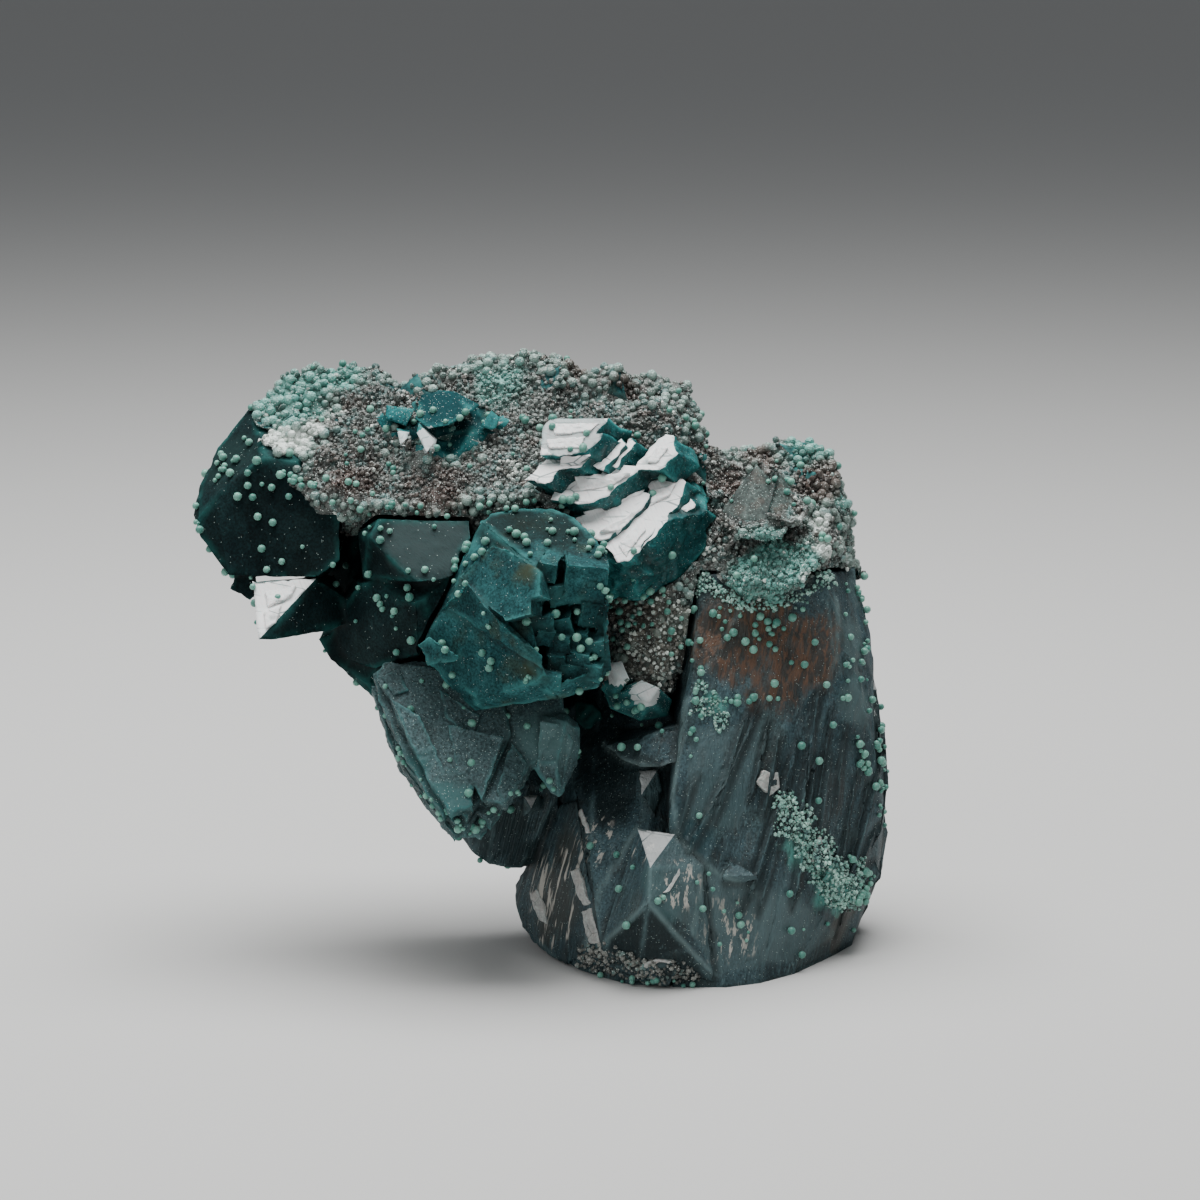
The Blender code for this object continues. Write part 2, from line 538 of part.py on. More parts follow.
END_CRYSTAL = [
    (-67.2, 78.7, -14.6), (-72.0, 75.5, -14.0), (-75.2, 72.3, -13.5), (-78.0, 68.8, -13.0),
    (-77.6, 65.9, -13.4), (-75.7, 63.8, -14.0), (-73.1, 59.8, -15.2), (-68.3, 59.4, -16.4),
    (-58.7, 59.4, -18.4), (-55.2, 62.2, -18.4), (-55.2, 69.4, -17.4), (-62.0, 78.0, -14.6),
    (-69.3, 87.4, -1.0), (-75.0, 80.3, -4.0), (-78.1, 73.4, -8.0), (-78.8, 69.4, -9.0),
    (-58.0, 80.0, -5.0), (-68.0, 83.0, 5.0), (-76.0, 70.0, 4.0), (-72.0, 60.0, 3.0), (-56.0, 60.0, 7.0),
    (-56.0, 76.0, 4.0),
]
WEDGE_TIP = (-68.3, 49.4, -26.5)
WEDGE_FACE = [(-69.3, 58.9), (-68.3, 49.4), (-58.9, 59.4)]
WEDGE_BODY = [
    (-65.4, 49.4, -24.5), (-56.8, 50.9, -15.5), (-54.4, 51.8, -13.5), (-53.6, 55.8, -12.0),
    (-68.0, 57.0, -6.0), (-66.0, 52.0, -8.0), (-56.0, 52.6, -2.0), (-56.0, 60.0, -4.0),
]
SHOULDER_TIP = (-42.7, 58.6, -28.0)
SHOULDER_FACE = [
    (-50.6, 65.9), (-48.2, 67.5), (-49.1, 69.0), (-34.4, 68.6), (-34.2, 64.2), (-36.8, 59.8), (-39.2, 59.0),
    (-42.7, 58.6), (-45.6, 60.6), (-48.0, 63.0),
]
SHOULDER = [
    (-52.5, 66.6, -16.0), (-51.7, 59.0, -17.0), (-42.7, 58.4, -24.0), (-50.0, 69.0, -4.0),
    (-36.0, 68.0, -4.0), (-38.0, 58.0, -4.0), (-50.0, 58.0, -4.0),
]
SHOULDER_LEDGE = [
    (-52.0, 58.6, -18.0), (-48.8, 59.0, -20.4), (-45.6, 55.8, -24.6), (-43.2, 55.4, -26.4),
    (-41.6, 56.2, -26.6), (-37.3, 59.6, -25.0), (-37.4, 56.6, -24.6), (-40.8, 51.8, -24.4),
    (-42.7, 47.0, -22.0), (-50.0, 44.6, -15.0), (-56.8, 47.0, -9.0), (-58.7, 49.4, -7.0),
    (-54.4, 55.8, -14.0), (-52.0, 50.0, 4.0), (-42.0, 46.0, -2.0), (-42.0, 60.0, -2.0), (-54.0, 60.0, 4.0),
]
LOWER_CRYSTALS = [
    [(-58.7, 49.6, -9.0), (-56.8, 46.2, -10.0), (-53.4, 45.0, -11.0), (-50.8, 42.2, -13.0),
     (-49.6, 39.6, -12.0), (-46.0, 42.0, -14.0), (-46.0, 50.0, -16.0), (-54.0, 52.0, -12.0),
     (-54.0, 47.0, 8.0), (-46.0, 42.0, 10.0), (-46.0, 56.0, 10.0)],
    [(-50.0, 40.0, -8.0), (-47.0, 33.4, -6.0), (-44.6, 28.6, -6.0), (-41.0, 24.4, -8.0), (-36.0, 28.0, -12.0),
     (-38.0, 44.0, -14.0), (-46.0, 46.0, 11.0), (-40.0, 31.0, 11.0), (-26.0, 34.0, 14.0), (-20.0, 42.0, 15.0),
     (-24.0, 50.0, 14.0), (-22.0, 44.0, -6.0), (-20.0, 36.0, 4.0)],
    [(-56.0, 52.0, 0.0), (-58.5, 60.0, 1.0), (-59.0, 69.0, 0.0), (-44.0, 48.0, 11.0), (-52.0, 48.0, 9.0),
     (-54.0, 62.0, 10.5), (-42.0, 60.0, 11.5), (-46.0, 46.0, 0.0), (-46.0, 68.0, -2.0), (-52.0, 68.0, -5.0)],
    [(-72.8, 57.6, -13.0), (-69.6, 55.6, -14.6), (-67.6, 57.6, -15.4), (-69.6, 61.0, -14.0),
     (-72.0, 60.6, -12.6), (-69.0, 57.6, -6.0)],
]


def arm_end_crystals():
    body = crystal(END_CRYSTAL, "end")
    parts = [faceted([(Facet(WEDGE_TIP, GLEAM), WEDGE_FACE)], WEDGE_BODY, "wedge"),
             faceted([(Facet(SHOULDER_TIP, SHOULDER_LEAN), SHOULDER_FACE)], SHOULDER, "shoulder"),
             crystal(SHOULDER_LEDGE)]
    parts += [crystal(corners) for corners in LOWER_CRYSTALS]
    places = places_of([body] + parts)
    worked(body, "UNION", parts)
    return body, places


# Druse crust

CRUST_MASSES = [
    [(-69.2, 81.4, -11.0), (-67.4, 79.6, -13.5), (-64.0, 74.4, -17.0), (-60.4, 70.6, -20.0),
     (-55.2, 69.8, -21.0), (-46.4, 69.6, -22.0), (-44.0, 78.0, -15.0), (-68.6, 88.2, -3.0),
     (-65.4, 91.6, -1.5), (-58.6, 93.8, -0.5), (-50.2, 93.6, -0.5), (-46.0, 90.8, -1.0),
     (-66.0, 87.0, 4.0), (-58.0, 92.0, 5.5), (-47.0, 90.0, 6.5), (-62.0, 70.0, 8.5), (-46.4, 62.0, 12.0),
     (-67.0, 80.0, 5.0)],
    [(-48.8, 69.8, -21.5), (-36.8, 69.6, -22.0), (-33.6, 71.4, -21.0), (-26.4, 71.4, -21.0),
     (-20.0, 71.4, -19.5), (-17.0, 76.0, -15.0), (-45.6, 89.6, -2.0), (-39.4, 93.0, -0.5),
     (-31.2, 95.6, 0.5), (-22.4, 95.2, 0.5), (-18.6, 96.4, 0.5), (-17.0, 93.4, 0.0), (-44.0, 89.0, 7.0),
     (-31.2, 94.0, 6.5), (-18.0, 93.0, 6.5), (-46.0, 60.0, 12.5), (-44.0, 50.0, 13.0), (-18.0, 48.0, 15.0)],
    [(-18.4, 84.0, -8.0), (-1.0, 83.6, -8.0), (0.8, 72.0, -10.5), (3.0, 62.6, -12.5), (0.6, 56.0, -13.5),
     (-12.0, 56.0, -9.0), (-14.6, 92.2, -0.5), (-12.0, 93.8, 0.5), (-4.0, 91.8, 0.5), (0.8, 90.6, 0.5),
     (2.2, 84.8, 0.0), (3.2, 80.8, 0.0), (-14.0, 92.0, 7.0), (1.0, 89.0, 7.5), (4.0, 78.0, 9.5),
     (6.0, 56.0, 14.0), (-18.0, 46.0, 15.5)],
    [(-12.3, 57.0, -12.0), (-11.8, 47.6, -14.5), (-9.6, 40.4, -13.5), (-3.4, 39.8, -13.5),
     (1.0, 49.4, -15.5), (1.8, 59.0, -14.5), (-10.0, 42.0, 2.0), (2.0, 42.0, 2.0), (2.0, 60.0, 2.0),
     (-12.0, 60.0, 2.0)],
    [(-15.0, 60.0, 2.0), (3.0, 60.0, 2.0), (-12.0, 39.0, 5.0), (1.0, 38.0, 7.0), (-16.0, 62.0, 14.5),
     (5.0, 62.0, 15.5), (-20.0, 42.0, 14.5), (3.0, 40.0, 15.0), (-21.0, 52.0, 6.0)],
    [(3.4, 71.4, -9.5), (5.0, 58.0, -15.0), (9.6, 56.4, -16.5), (14.9, 56.4, -16.5), (20.0, 59.6, -14.5),
     (23.2, 64.6, -11.0), (4.6, 79.6, 0.5), (9.6, 80.2, 1.5), (14.4, 79.8, 2.0), (19.2, 81.8, 2.5),
     (23.6, 79.4, 2.5), (25.8, 74.6, 2.5), (27.2, 67.8, 3.0), (28.2, 60.8, 3.5), (5.0, 78.0, 9.0),
     (18.6, 80.0, 9.0), (24.6, 73.6, 9.5), (27.0, 56.0, 11.5), (4.0, 52.0, 15.5), (20.0, 53.0, 15.0)],
    [(5.4, 59.8, -17.5), (8.0, 57.6, -20.5), (10.6, 56.2, -21.5), (14.4, 55.8, -21.7), (19.6, 59.4, -19.5),
     (22.4, 62.2, -16.0), (23.7, 65.4, -13.0), (23.0, 67.8, -11.0), (9.0, 63.6, -15.0), (19.0, 65.0, -14.0),
     (10.0, 58.0, -8.0), (22.0, 62.0, -6.0)],
]
# Teal crystals that stand out of the crust
CRUST_CRYSTALS = [
    [(-43.2, 84.8, -12.8), (-42.0, 89.6, -8.0), (-36.8, 89.2, -9.4), (-32.8, 87.0, -11.6),
     (-34.0, 86.0, -13.4), (-37.6, 83.8, -15.4), (-41.0, 83.2, -15.0), (-38.0, 84.0, -4.0)],
    [(-47.8, 87.0, -9.0), (-43.2, 86.4, -11.0), (-44.6, 83.6, -13.0), (-48.0, 84.8, -11.5),
     (-45.0, 85.0, -4.0)],
    [(-32.8, 83.6, -12.5), (-31.0, 86.2, -10.2), (-29.6, 85.0, -11.6), (-30.4, 82.8, -13.2),
     (-31.0, 84.0, -5.0)],
    [(-46.2, 83.3, -13.0), (-44.4, 81.8, -15.8), (-44.0, 80.2, -17.4), (-45.6, 80.6, -16.6),
     (-44.0, 83.0, -12.0), (-45.0, 82.0, -7.0)],
    [(-42.6, 84.2, -13.4), (-40.2, 81.0, -17.0), (-40.2, 78.8, -19.0), (-41.4, 79.4, -18.4),
     (-43.0, 82.6, -14.6), (-39.6, 81.6, -14.0), (-41.0, 82.0, -8.0)],
    [(11.4, 77.6, -9.0), (5.2, 69.4, -14.0), (8.6, 65.6, -18.6), (15.8, 65.4, -18.8), (18.6, 69.8, -13.4),
     (7.0, 70.0, -3.0), (16.0, 71.0, -3.0)],
    [(15.0, 76.4, -8.4), (13.0, 69.0, -17.8), (18.8, 67.6, -16.2), (21.0, 70.6, -10.0), (14.0, 70.0, -3.0)],
    [(-12.6, 45.6, -15.6), (-10.1, 46.1, -15.2), (-8.8, 43.0, -18.0), (-10.7, 42.9, -18.2),
     (-13.6, 41.6, -13.5), (-11.7, 39.6, -13.5), (-10.0, 44.0, -6.0)],
    [(-8.5, 41.1, -17.6), (-6.9, 43.0, -15.8), (-4.2, 41.8, -17.0), (-5.9, 39.4, -19.2), (-13.0, 41.0, -12.5),
     (-12.0, 38.4, -13.0), (-7.2, 36.4, -14.0), (-2.7, 37.2, -12.5), (-2.0, 39.8, -12.5), (-7.0, 40.0, -2.0)],
    [(3.0, 81.4, 1.0), (4.6, 79.8, -1.0), (2.8, 77.0, -2.0), (5.6, 77.6, 3.0), (3.0, 78.0, 6.0)],
    [(-60.0, 84.0, 8.0), (-50.0, 86.0, 8.5), (-47.0, 76.0, 11.0), (-57.0, 71.0, 11.0), (-55.0, 78.0, 14.0),
     (-54.0, 80.0, 0.0)],
    [(-40.0, 82.0, 9.0), (-28.0, 86.0, 9.5), (-24.0, 74.0, 13.0), (-34.0, 66.0, 14.0), (-43.0, 72.0, 11.0),
     (-31.0, 80.0, 15.0), (-36.0, 73.0, 17.0), (-33.0, 77.0, 2.0)],
    [(-18.0, 74.0, 11.0), (-8.0, 78.0, 11.5), (-3.0, 67.0, 15.0), (-12.0, 58.0, 16.0), (-10.0, 68.0, 18.0),
     (-10.0, 69.0, 4.0)],
    [(8.0, 72.0, 10.0), (16.0, 76.0, 10.0), (20.0, 64.0, 14.0), (12.0, 58.0, 16.0), (14.0, 66.0, 17.0),
     (12.0, 67.0, 4.0)],
]
PITS = [
    [(-35.6, 71.0, -24.0), (-33.4, 72.0, -23.0), (-32.8, 69.0, -24.0), (-35.4, 68.8, -25.0),
     (-34.4, 70.4, -17.0)],
    [(5.6, 74.0, -12.0), (8.0, 73.0, -12.0), (6.0, 70.6, -13.0), (5.0, 71.6, -12.0), (7.0, 72.4, -4.0)],
    [(19.4, 73.6, -8.0), (23.0, 73.4, -6.0), (21.4, 71.6, -8.0), (21.0, 73.0, -1.0)],
]


def druse_crust():
    """The lumpy crust: its masses melt into one, and the surface rises in lumps."""
    masses = [crystal(corners, "mass") for corners in CRUST_MASSES]
    body = worked(masses[0], "UNION", masses[1:])
    melt = body.modifiers.new("Melt", "REMESH")
    melt.mode = "VOXEL"
    melt.voxel_size = CRUST_GRAIN * MM
    lumps = bpy.data.textures.new("lumps", "VORONOI")
    lumps.noise_scale = LUMP_SIZE * MM
    lumps.distance_metric = "DISTANCE"
    swell = body.modifiers.new("Swell", "DISPLACE")
    swell.texture = lumps
    swell.texture_coords = "LOCAL"
    swell.strength = -LUMP_HEIGHT * MM
    swell.mid_level = 0.5
    thin = body.modifiers.new("Thin", "DECIMATE")
    thin.ratio = CRUST_SHARE_KEPT
    settled(body)
    worked(body, "UNION", [crystal(corners) for corners in CRUST_CRYSTALS])
    worked(body, "DIFFERENCE", [crystal(corners) for corners in PITS])
    return body


def over_terraces():
    """The places that the crust leaves free over each terrace of the stepped crystal."""
    places = []
    for level, outline in TERRACES:
        middle = sum((Vector(point) for point in outline), Vector((0, 0))) / len(outline)
        wider = [middle + (Vector(point) - middle) * 1.12 for point in outline]
        face = Facet(STEPPED_TIP, GLEAM, level * TERRACE_STEP + 4.0)
        upper = [face.under(*point) for point in wider]
        places.append(upper + [place + TERRACE_INTO * TERRACE_DEPTH * 1.9 * MM for place in upper])
    return places


def leave_room(item, *neighbours):
    """Cuts the piece back so that it stands clear of every part of its neighbours."""
    rooms = [room(places) for parts in neighbours for places in parts]
    return worked(item, "DIFFERENCE", rooms)


clear_scene()
WORKSHOP = bpy.data.collections.new("workshop")
bpy.context.scene.collection.children.link(WORKSHOP)
SPECIMEN = bpy.data.collections.new("apophyllite")
bpy.context.scene.collection.children.link(SPECIMEN)

standing, standing_parts = standing_crystal()
stepped, stepped_parts = stepped_crystal()
pitted, pitted_parts = pitted_crystal()
fan, fan_parts = fan_crystal()
arm_end, arm_end_parts = arm_end_crystals()
crust = druse_crust()

leave_room(stepped, pitted_parts)
leave_room(fan, pitted_parts)
leave_room(arm_end, pitted_parts, stepped_parts, fan_parts)
leave_room(standing, pitted_parts, stepped_parts, fan_parts, arm_end_parts)
leave_room(crust, pitted_parts, stepped_parts, over_terraces(), fan_parts, arm_end_parts, standing_parts)

finished(standing, "standing_crystal")
finished(stepped, "stepped_crystal")
finished(pitted, "pitted_crystal")
finished(fan, "fan_crystal")
finished(arm_end, "arm_end_crystals")
finished(crust, "druse_crust")
bpy.data.collections.remove(WORKSHOP)
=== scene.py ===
"""Looks of the apophyllite specimen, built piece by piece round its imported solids."""
import json
import math
import random

import bmesh
import bpy
import numpy as np
from mathutils import Euler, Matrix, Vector
from mathutils.bvhtree import BVHTree
from mathutils.geometry import intersect_line_plane
from mathutils.kdtree import KDTree

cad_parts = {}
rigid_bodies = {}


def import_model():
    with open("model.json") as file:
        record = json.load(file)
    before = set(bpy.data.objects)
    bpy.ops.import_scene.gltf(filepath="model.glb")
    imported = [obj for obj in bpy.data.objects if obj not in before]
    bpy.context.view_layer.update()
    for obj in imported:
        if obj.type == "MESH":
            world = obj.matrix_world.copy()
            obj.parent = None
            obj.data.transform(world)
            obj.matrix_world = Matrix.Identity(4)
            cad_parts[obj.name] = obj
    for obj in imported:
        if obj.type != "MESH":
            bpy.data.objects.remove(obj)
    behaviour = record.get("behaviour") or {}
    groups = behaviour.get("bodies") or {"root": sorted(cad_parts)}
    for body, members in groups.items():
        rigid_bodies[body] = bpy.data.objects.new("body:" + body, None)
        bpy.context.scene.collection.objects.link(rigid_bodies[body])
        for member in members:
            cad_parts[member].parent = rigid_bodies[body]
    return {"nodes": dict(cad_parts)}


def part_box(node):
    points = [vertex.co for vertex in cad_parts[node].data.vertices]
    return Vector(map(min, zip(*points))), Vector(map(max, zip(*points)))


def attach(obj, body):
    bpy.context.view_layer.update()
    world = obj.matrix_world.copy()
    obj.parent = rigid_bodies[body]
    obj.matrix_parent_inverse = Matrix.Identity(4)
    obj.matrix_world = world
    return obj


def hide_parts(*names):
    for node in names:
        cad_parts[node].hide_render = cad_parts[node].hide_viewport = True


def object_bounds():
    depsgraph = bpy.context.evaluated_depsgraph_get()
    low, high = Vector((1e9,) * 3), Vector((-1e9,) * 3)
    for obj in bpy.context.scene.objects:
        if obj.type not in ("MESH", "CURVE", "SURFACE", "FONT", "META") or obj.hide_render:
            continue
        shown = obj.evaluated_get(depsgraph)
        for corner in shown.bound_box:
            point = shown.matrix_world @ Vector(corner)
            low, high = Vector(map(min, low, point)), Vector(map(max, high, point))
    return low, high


for item in list(bpy.data.objects):
    bpy.data.objects.remove(item)

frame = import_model()
cad_low, cad_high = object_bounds()

mm = 0.001

# Camera
# The specimen is photographed from the front with a long lens, a little from above. Places in that view are
# given in millimetres: across and up from the middle of the foot, and how deep behind it.

view_tilt = math.radians(11)
view_distance = 600
view_aim = (-13.6, 55.8)
view_lens = 112.5


def seen(across, up, depth):
    """The place seen this far across and up, at this depth behind the middle of the foot, in millimetres."""
    spread = 1 + depth / view_distance
    x = view_aim[0] + spread * (across - view_aim[0])
    rise = view_aim[1] + spread * (up - view_aim[1])
    y = rise * math.sin(view_tilt) + depth * math.cos(view_tilt)
    z = rise * math.cos(view_tilt) - depth * math.sin(view_tilt)
    return Vector((x, y, z)) * mm


eye = seen(view_aim[0], view_aim[1], -view_distance)
camera_data = bpy.data.cameras.new("camera")
camera_data.lens = view_lens
camera_data.clip_start = 0.05
camera = bpy.data.objects.new("camera", camera_data)
camera.location = eye
camera.rotation_euler = (math.radians(90) - view_tilt, 0, 0)
bpy.context.scene.collection.objects.link(camera)
bpy.context.scene.camera = camera

# Light and floor
# A soft box hangs over the specimen, a little behind it, so that the level growth faces gleam, and a weak
# wide light fills in from the front. The floor is plain, pale and matt.

soft_box = bpy.data.lights.new("soft_box", "AREA")
soft_box.shape = "RECTANGLE"
soft_box.size = 0.62
soft_box.size_y = 0.46
soft_box.energy = 10.0
soft_box_object = bpy.data.objects.new("soft_box", soft_box)
soft_box_object.location = (-0.05, 0.08, 0.68)
bpy.context.scene.collection.objects.link(soft_box_object)

front_light = bpy.data.lights.new("front_light", "AREA")
front_light.size = 0.9
front_light.energy = 3.6
front_light_object = bpy.data.objects.new("front_light", front_light)
front_light_object.location = (-0.55, -0.95, 0.55)
front_light_object.rotation_euler = (Vector((0, 0, 0.05)) - front_light_object.location).to_track_quat(
    "-Z", "Y").to_euler()
bpy.context.scene.collection.objects.link(front_light_object)

world = bpy.data.worlds.new("studio")
world.use_nodes = True
world.node_tree.nodes["Background"].inputs["Color"].default_value = (0.80, 0.83, 0.86, 1)
world.node_tree.nodes["Background"].inputs["Strength"].default_value = 0.22
bpy.context.scene.world = world

floor_mesh = bpy.data.meshes.new("floor")
floor_body = bmesh.new()
bmesh.ops.create_grid(floor_body, x_segments=1, y_segments=1, size=8.0)
floor_body.to_mesh(floor_mesh)
floor_body.free()
floor = bpy.data.objects.new("floor", floor_mesh)
bpy.context.scene.collection.objects.link(floor)
floor_finish = bpy.data.materials.new("floor")
floor_finish.use_nodes = True
floor_shader = floor_finish.node_tree.nodes["Principled BSDF"]
floor_shader.inputs["Base Color"].default_value = (0.56, 0.56, 0.55, 1)
floor_shader.inputs["Roughness"].default_value = 0.75
floor_mesh.materials.append(floor_finish)

# Standing crystal
# The largest crystal carries the rest. It is slate-blue, finely lined down its length, stained rust brown
# under the crust, and its foot is cut off flat. Druse has grown in patches on it.

# The pixel of the photograph that shows the middle of the foot, and how many millimetres one pixel is
photo_foot = (685, 949)
photo_pixel = 0.16


def facing(across, up, toward):
    """A direction given by its parts across the view, up it and toward the eye."""
    y = up * math.sin(view_tilt) - toward * math.cos(view_tilt)
    z = up * math.cos(view_tilt) + toward * math.sin(view_tilt)
    return Vector((across, y, z)).normalized()


def all_solids():
    """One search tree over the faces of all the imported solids."""
    corners = []
    faces = []
    for item in frame["nodes"].values():
        first = len(corners)
        corners += [vertex.co for vertex in item.data.vertices]
        faces += [[first + corner for corner in face.vertices] for face in item.data.polygons]
    return BVHTree.FromPolygons(corners, faces)


solids = all_solids()


def measured(pixel):
    """How far across and up from the middle of the foot this pixel lies, in millimetres."""
    return (pixel[0] - photo_foot[0]) * photo_pixel, (photo_foot[1] - pixel[1]) * photo_pixel


def spot(pixel):
    """The place on the solids that the photograph shows at this pixel, and the direction it faces."""
    aim = seen(*measured(pixel), 0)
    place, outward, _, _ = solids.ray_cast(eye, (aim - eye).normalized())
    if place is None:
        place, outward, _, _ = solids.find_nearest(aim)
    return place, outward


def from_spot(points, pixel):
    """How many millimetres each place lies from the place that the photograph shows at this pixel."""
    return np.linalg.norm(points - np.array(spot(pixel)[0]), axis=1) / mm


def pixels(points):
    """The pixels of the photograph at which these places lie, as two arrays."""
    x, y, z = (points / mm).T
    depth = y * math.cos(view_tilt) - z * math.sin(view_tilt)
    rise = y * math.sin(view_tilt) + z * math.cos(view_tilt)
    spread = 1 + depth / view_distance
    across = view_aim[0] + (x - view_aim[0]) / spread
    up = view_aim[1] + (rise - view_aim[1]) / spread
    return photo_foot[0] + across / photo_pixel, photo_foot[1] - up / photo_pixel


def from_line(points, line):
    """How many pixels each place lies from a line that is drawn over the photograph."""
    u, v = pixels(points)
    least = np.full(len(points), 1e9)
    for (u0, v0), (u1, v1) in zip(line, line[1:]):
        length = max((u1 - u0) ** 2 + (v1 - v0) ** 2, 1e-9)
        share = np.clip(((u - u0) * (u1 - u0) + (v - v0) * (v1 - v0)) / length, 0, 1)
        least = np.minimum(least, np.hypot(u - u0 - share * (u1 - u0), v - v0 - share * (v1 - v0)))
    return least


def from_lines(points, lines):
    """How many pixels each place lies from the nearest of several lines."""
    return np.minimum.reduce([from_line(points, line) for line in lines])


def inside(points, outline):
    """Which places lie inside an outline that is drawn over the photograph."""
    u, v = pixels(points)
    found = np.zeros(len(points), dtype=bool)
    for (u0, v0), (u1, v1) in zip(outline, outline[1:] + outline[:1]):
        crosses = (v0 > v) != (v1 > v)
        found ^= crosses & (u < u0 + (v - v0) * (u1 - u0) / ((v1 - v0) or 1e-9))
    return found


def inside_any(points, outlines):
    """Which places lie inside at least one of several outlines."""
    return np.logical_or.reduce([inside(points, outline) for outline in outlines])


# Faces that lie this way send the soft box's light to the eye
gleam = facing(0.0, 0.67, 0.74)

# The growth lines are spaced out round this upright line, and lean more from the start angle on
column_middle = Vector((14.0, 3.0, 0.0)) * mm
column_radius = 20 * mm
blade_start = math.radians(-128)


def split_long(points, corners, facets, size):
    """Halves every edge longer than the size until none is left, so that flat faces stay flat."""
    while True:
        ends = np.stack([corners, np.roll(corners, -1, axis=1)], axis=2).reshape(-1, 2)
        edges, sides = np.unique(np.sort(ends, axis=1), axis=0, return_inverse=True)
        sides = sides.reshape(-1, 3)
        reach = np.linalg.norm(points[edges[:, 0]] - points[edges[:, 1]], axis=1)
        wide = reach > size
        if not wide.any():
            return points, corners, facets
        middle = np.full(len(edges), -1)
        middle[wide] = len(points) + np.arange(wide.sum())
        points = np.concatenate([points, points[edges[wide]].mean(axis=1)])
        cut = wide[sides]
        count = cut.sum(axis=1)
        first = np.where(count == 1, cut.argmax(axis=1), np.where(count == 2, cut.argmin(axis=1) + 1, 0))
        order = (first[:, None] + np.arange(3)) % 3
        a, b, c = np.take_along_axis(corners, order, axis=1).T
        ab, bc, ca = middle[np.take_along_axis(sides, order, axis=1)].T
        patterns = {0: [(a, b, c)], 1: [(a, ab, c), (ab, b, c)], 2: [(ab, b, bc), (a, ab, bc), (a, bc, c)],
                    3: [(a, ab, ca), (ab, b, bc), (bc, c, ca), (ab, bc, ca)]}
        made = []
        owners = []
        for cuts, triangles in patterns.items():
            chosen = count == cuts
            for triangle in triangles:
                made.append(np.stack(triangle, axis=1)[chosen])
                owners.append(facets[chosen])
        corners = np.concatenate(made)
        facets = np.concatenate(owners)


def mesh_of(name, points, corners):
    """A mesh made of triangles."""
    mesh = bpy.data.meshes.new(name)
    mesh.vertices.add(len(points))
    mesh.vertices.foreach_set("co", points.ravel())
    mesh.loops.add(corners.size)
    mesh.loops.foreach_set("vertex_index", corners.ravel().astype(np.int32))
    mesh.polygons.add(len(corners))
    mesh.polygons.foreach_set("loop_start", np.arange(0, corners.size, 3, dtype=np.int32))
    mesh.update(calc_edges=True)
    mesh.shade_smooth()
    return mesh


def nearest(samples, points, limit):
    """How far each point is from the nearest sample, in metres, up to a limit."""
    if not samples:
        return np.full(len(points), limit)
    tree = KDTree(len(samples))
    for number, sample in enumerate(samples):
        tree.insert(sample, number)
    tree.balance()
    return np.array([min(tree.find(point)[2], limit) for point in points])


def points_of(piece):
    values = np.empty(len(piece.data.vertices) * 3)
    piece.data.vertices.foreach_get("co", values)
    return values.reshape(-1, 3)


def normals_of(piece):
    values = np.empty(len(piece.data.vertices) * 3)
    piece.data.vertex_normals.foreach_get("vector", values)
    return values.reshape(-1, 3)


def store(piece, name, values, domain="POINT"):
    """Keeps one number for each point or face of the piece, for its material or for what grows on it."""
    attribute = piece.data.attributes.new(name, "FLOAT", domain)
    attribute.data.foreach_set("value", np.asarray(values, dtype=np.float32))


def skin(body, name, size, seed):
    """A fine mesh of a flat-faced solid, with each facet's tone and gleam and each point's way to an edge."""
    dice = np.random.default_rng(seed)
    body.normal_update()
    marks = body.faces.layers.int.new("facet")
    shine = []
    area = []
    for number, face in enumerate(body.faces):
        face[marks] = number
        area.append(face.calc_area() / mm ** 2)
        shine.append(max(face.normal.dot(gleam), 0.0))
    tone = dice.random(len(shine))
    sharp_bend = math.radians(14)
    sample_gap = 0.5 * mm
    edge_reach = 4 * mm
    ridges = []
    creases = []
    for edge in body.edges:
        if len(edge.link_faces) != 2:
            continue
        bend = edge.calc_face_angle_signed()
        steps = max(int(edge.calc_length() / sample_gap), 1)
        first, last = edge.verts[0].co, edge.verts[1].co
        samples = [first.lerp(last, (step + 0.5) / steps) for step in range(steps)]
        if bend > sharp_bend:
            ridges += samples
        elif bend < -sharp_bend:
            creases += samples
    bmesh.ops.triangulate(body, faces=body.faces)
    body.verts.index_update()
    points = np.array([vertex.co for vertex in body.verts])
    corners = np.array([[vertex.index for vertex in face.verts] for face in body.faces])
    facets = np.array([face[marks] for face in body.faces])
    body.free()
    points, corners, facets = split_long(points, corners, facets, size)
    piece = bpy.data.objects.new(name, mesh_of(name, points, corners))
    bpy.context.scene.collection.objects.link(piece)
    store(piece, "tone", tone[facets], "FACE")
    store(piece, "shine", np.array(shine)[facets], "FACE")
    store(piece, "area", np.array(area)[facets], "FACE")
    store(piece, "ridge", nearest(ridges, points, edge_reach) / mm)
    store(piece, "crease", nearest(creases, points, edge_reach) / mm)
    return piece


def skin_of(node, size, seed):
    """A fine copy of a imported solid, its loose triangles merged back into whole facets first."""
    body = bmesh.new()
    body.from_mesh(frame["nodes"][node].data)
    bmesh.ops.remove_doubles(body, verts=body.verts, dist=0.001 * mm)
    bmesh.ops.dissolve_limit(body, angle_limit=math.radians(0.6), verts=body.verts, edges=body.edges)
    return skin(body, node + "_skin", size, seed)


def value_of(piece, name):
    values = np.empty(len(piece.data.vertices), dtype=np.float32)
    piece.data.attributes[name].data.foreach_get("value", values)
    return values


def put_points(piece, points, node):
    """Moves the points of the piece, and keeps them inside the box of the solid that it stands for."""
    low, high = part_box(node)
    piece.data.vertices.foreach_set("co", np.clip(points, low, high).ravel())
    piece.data.update()


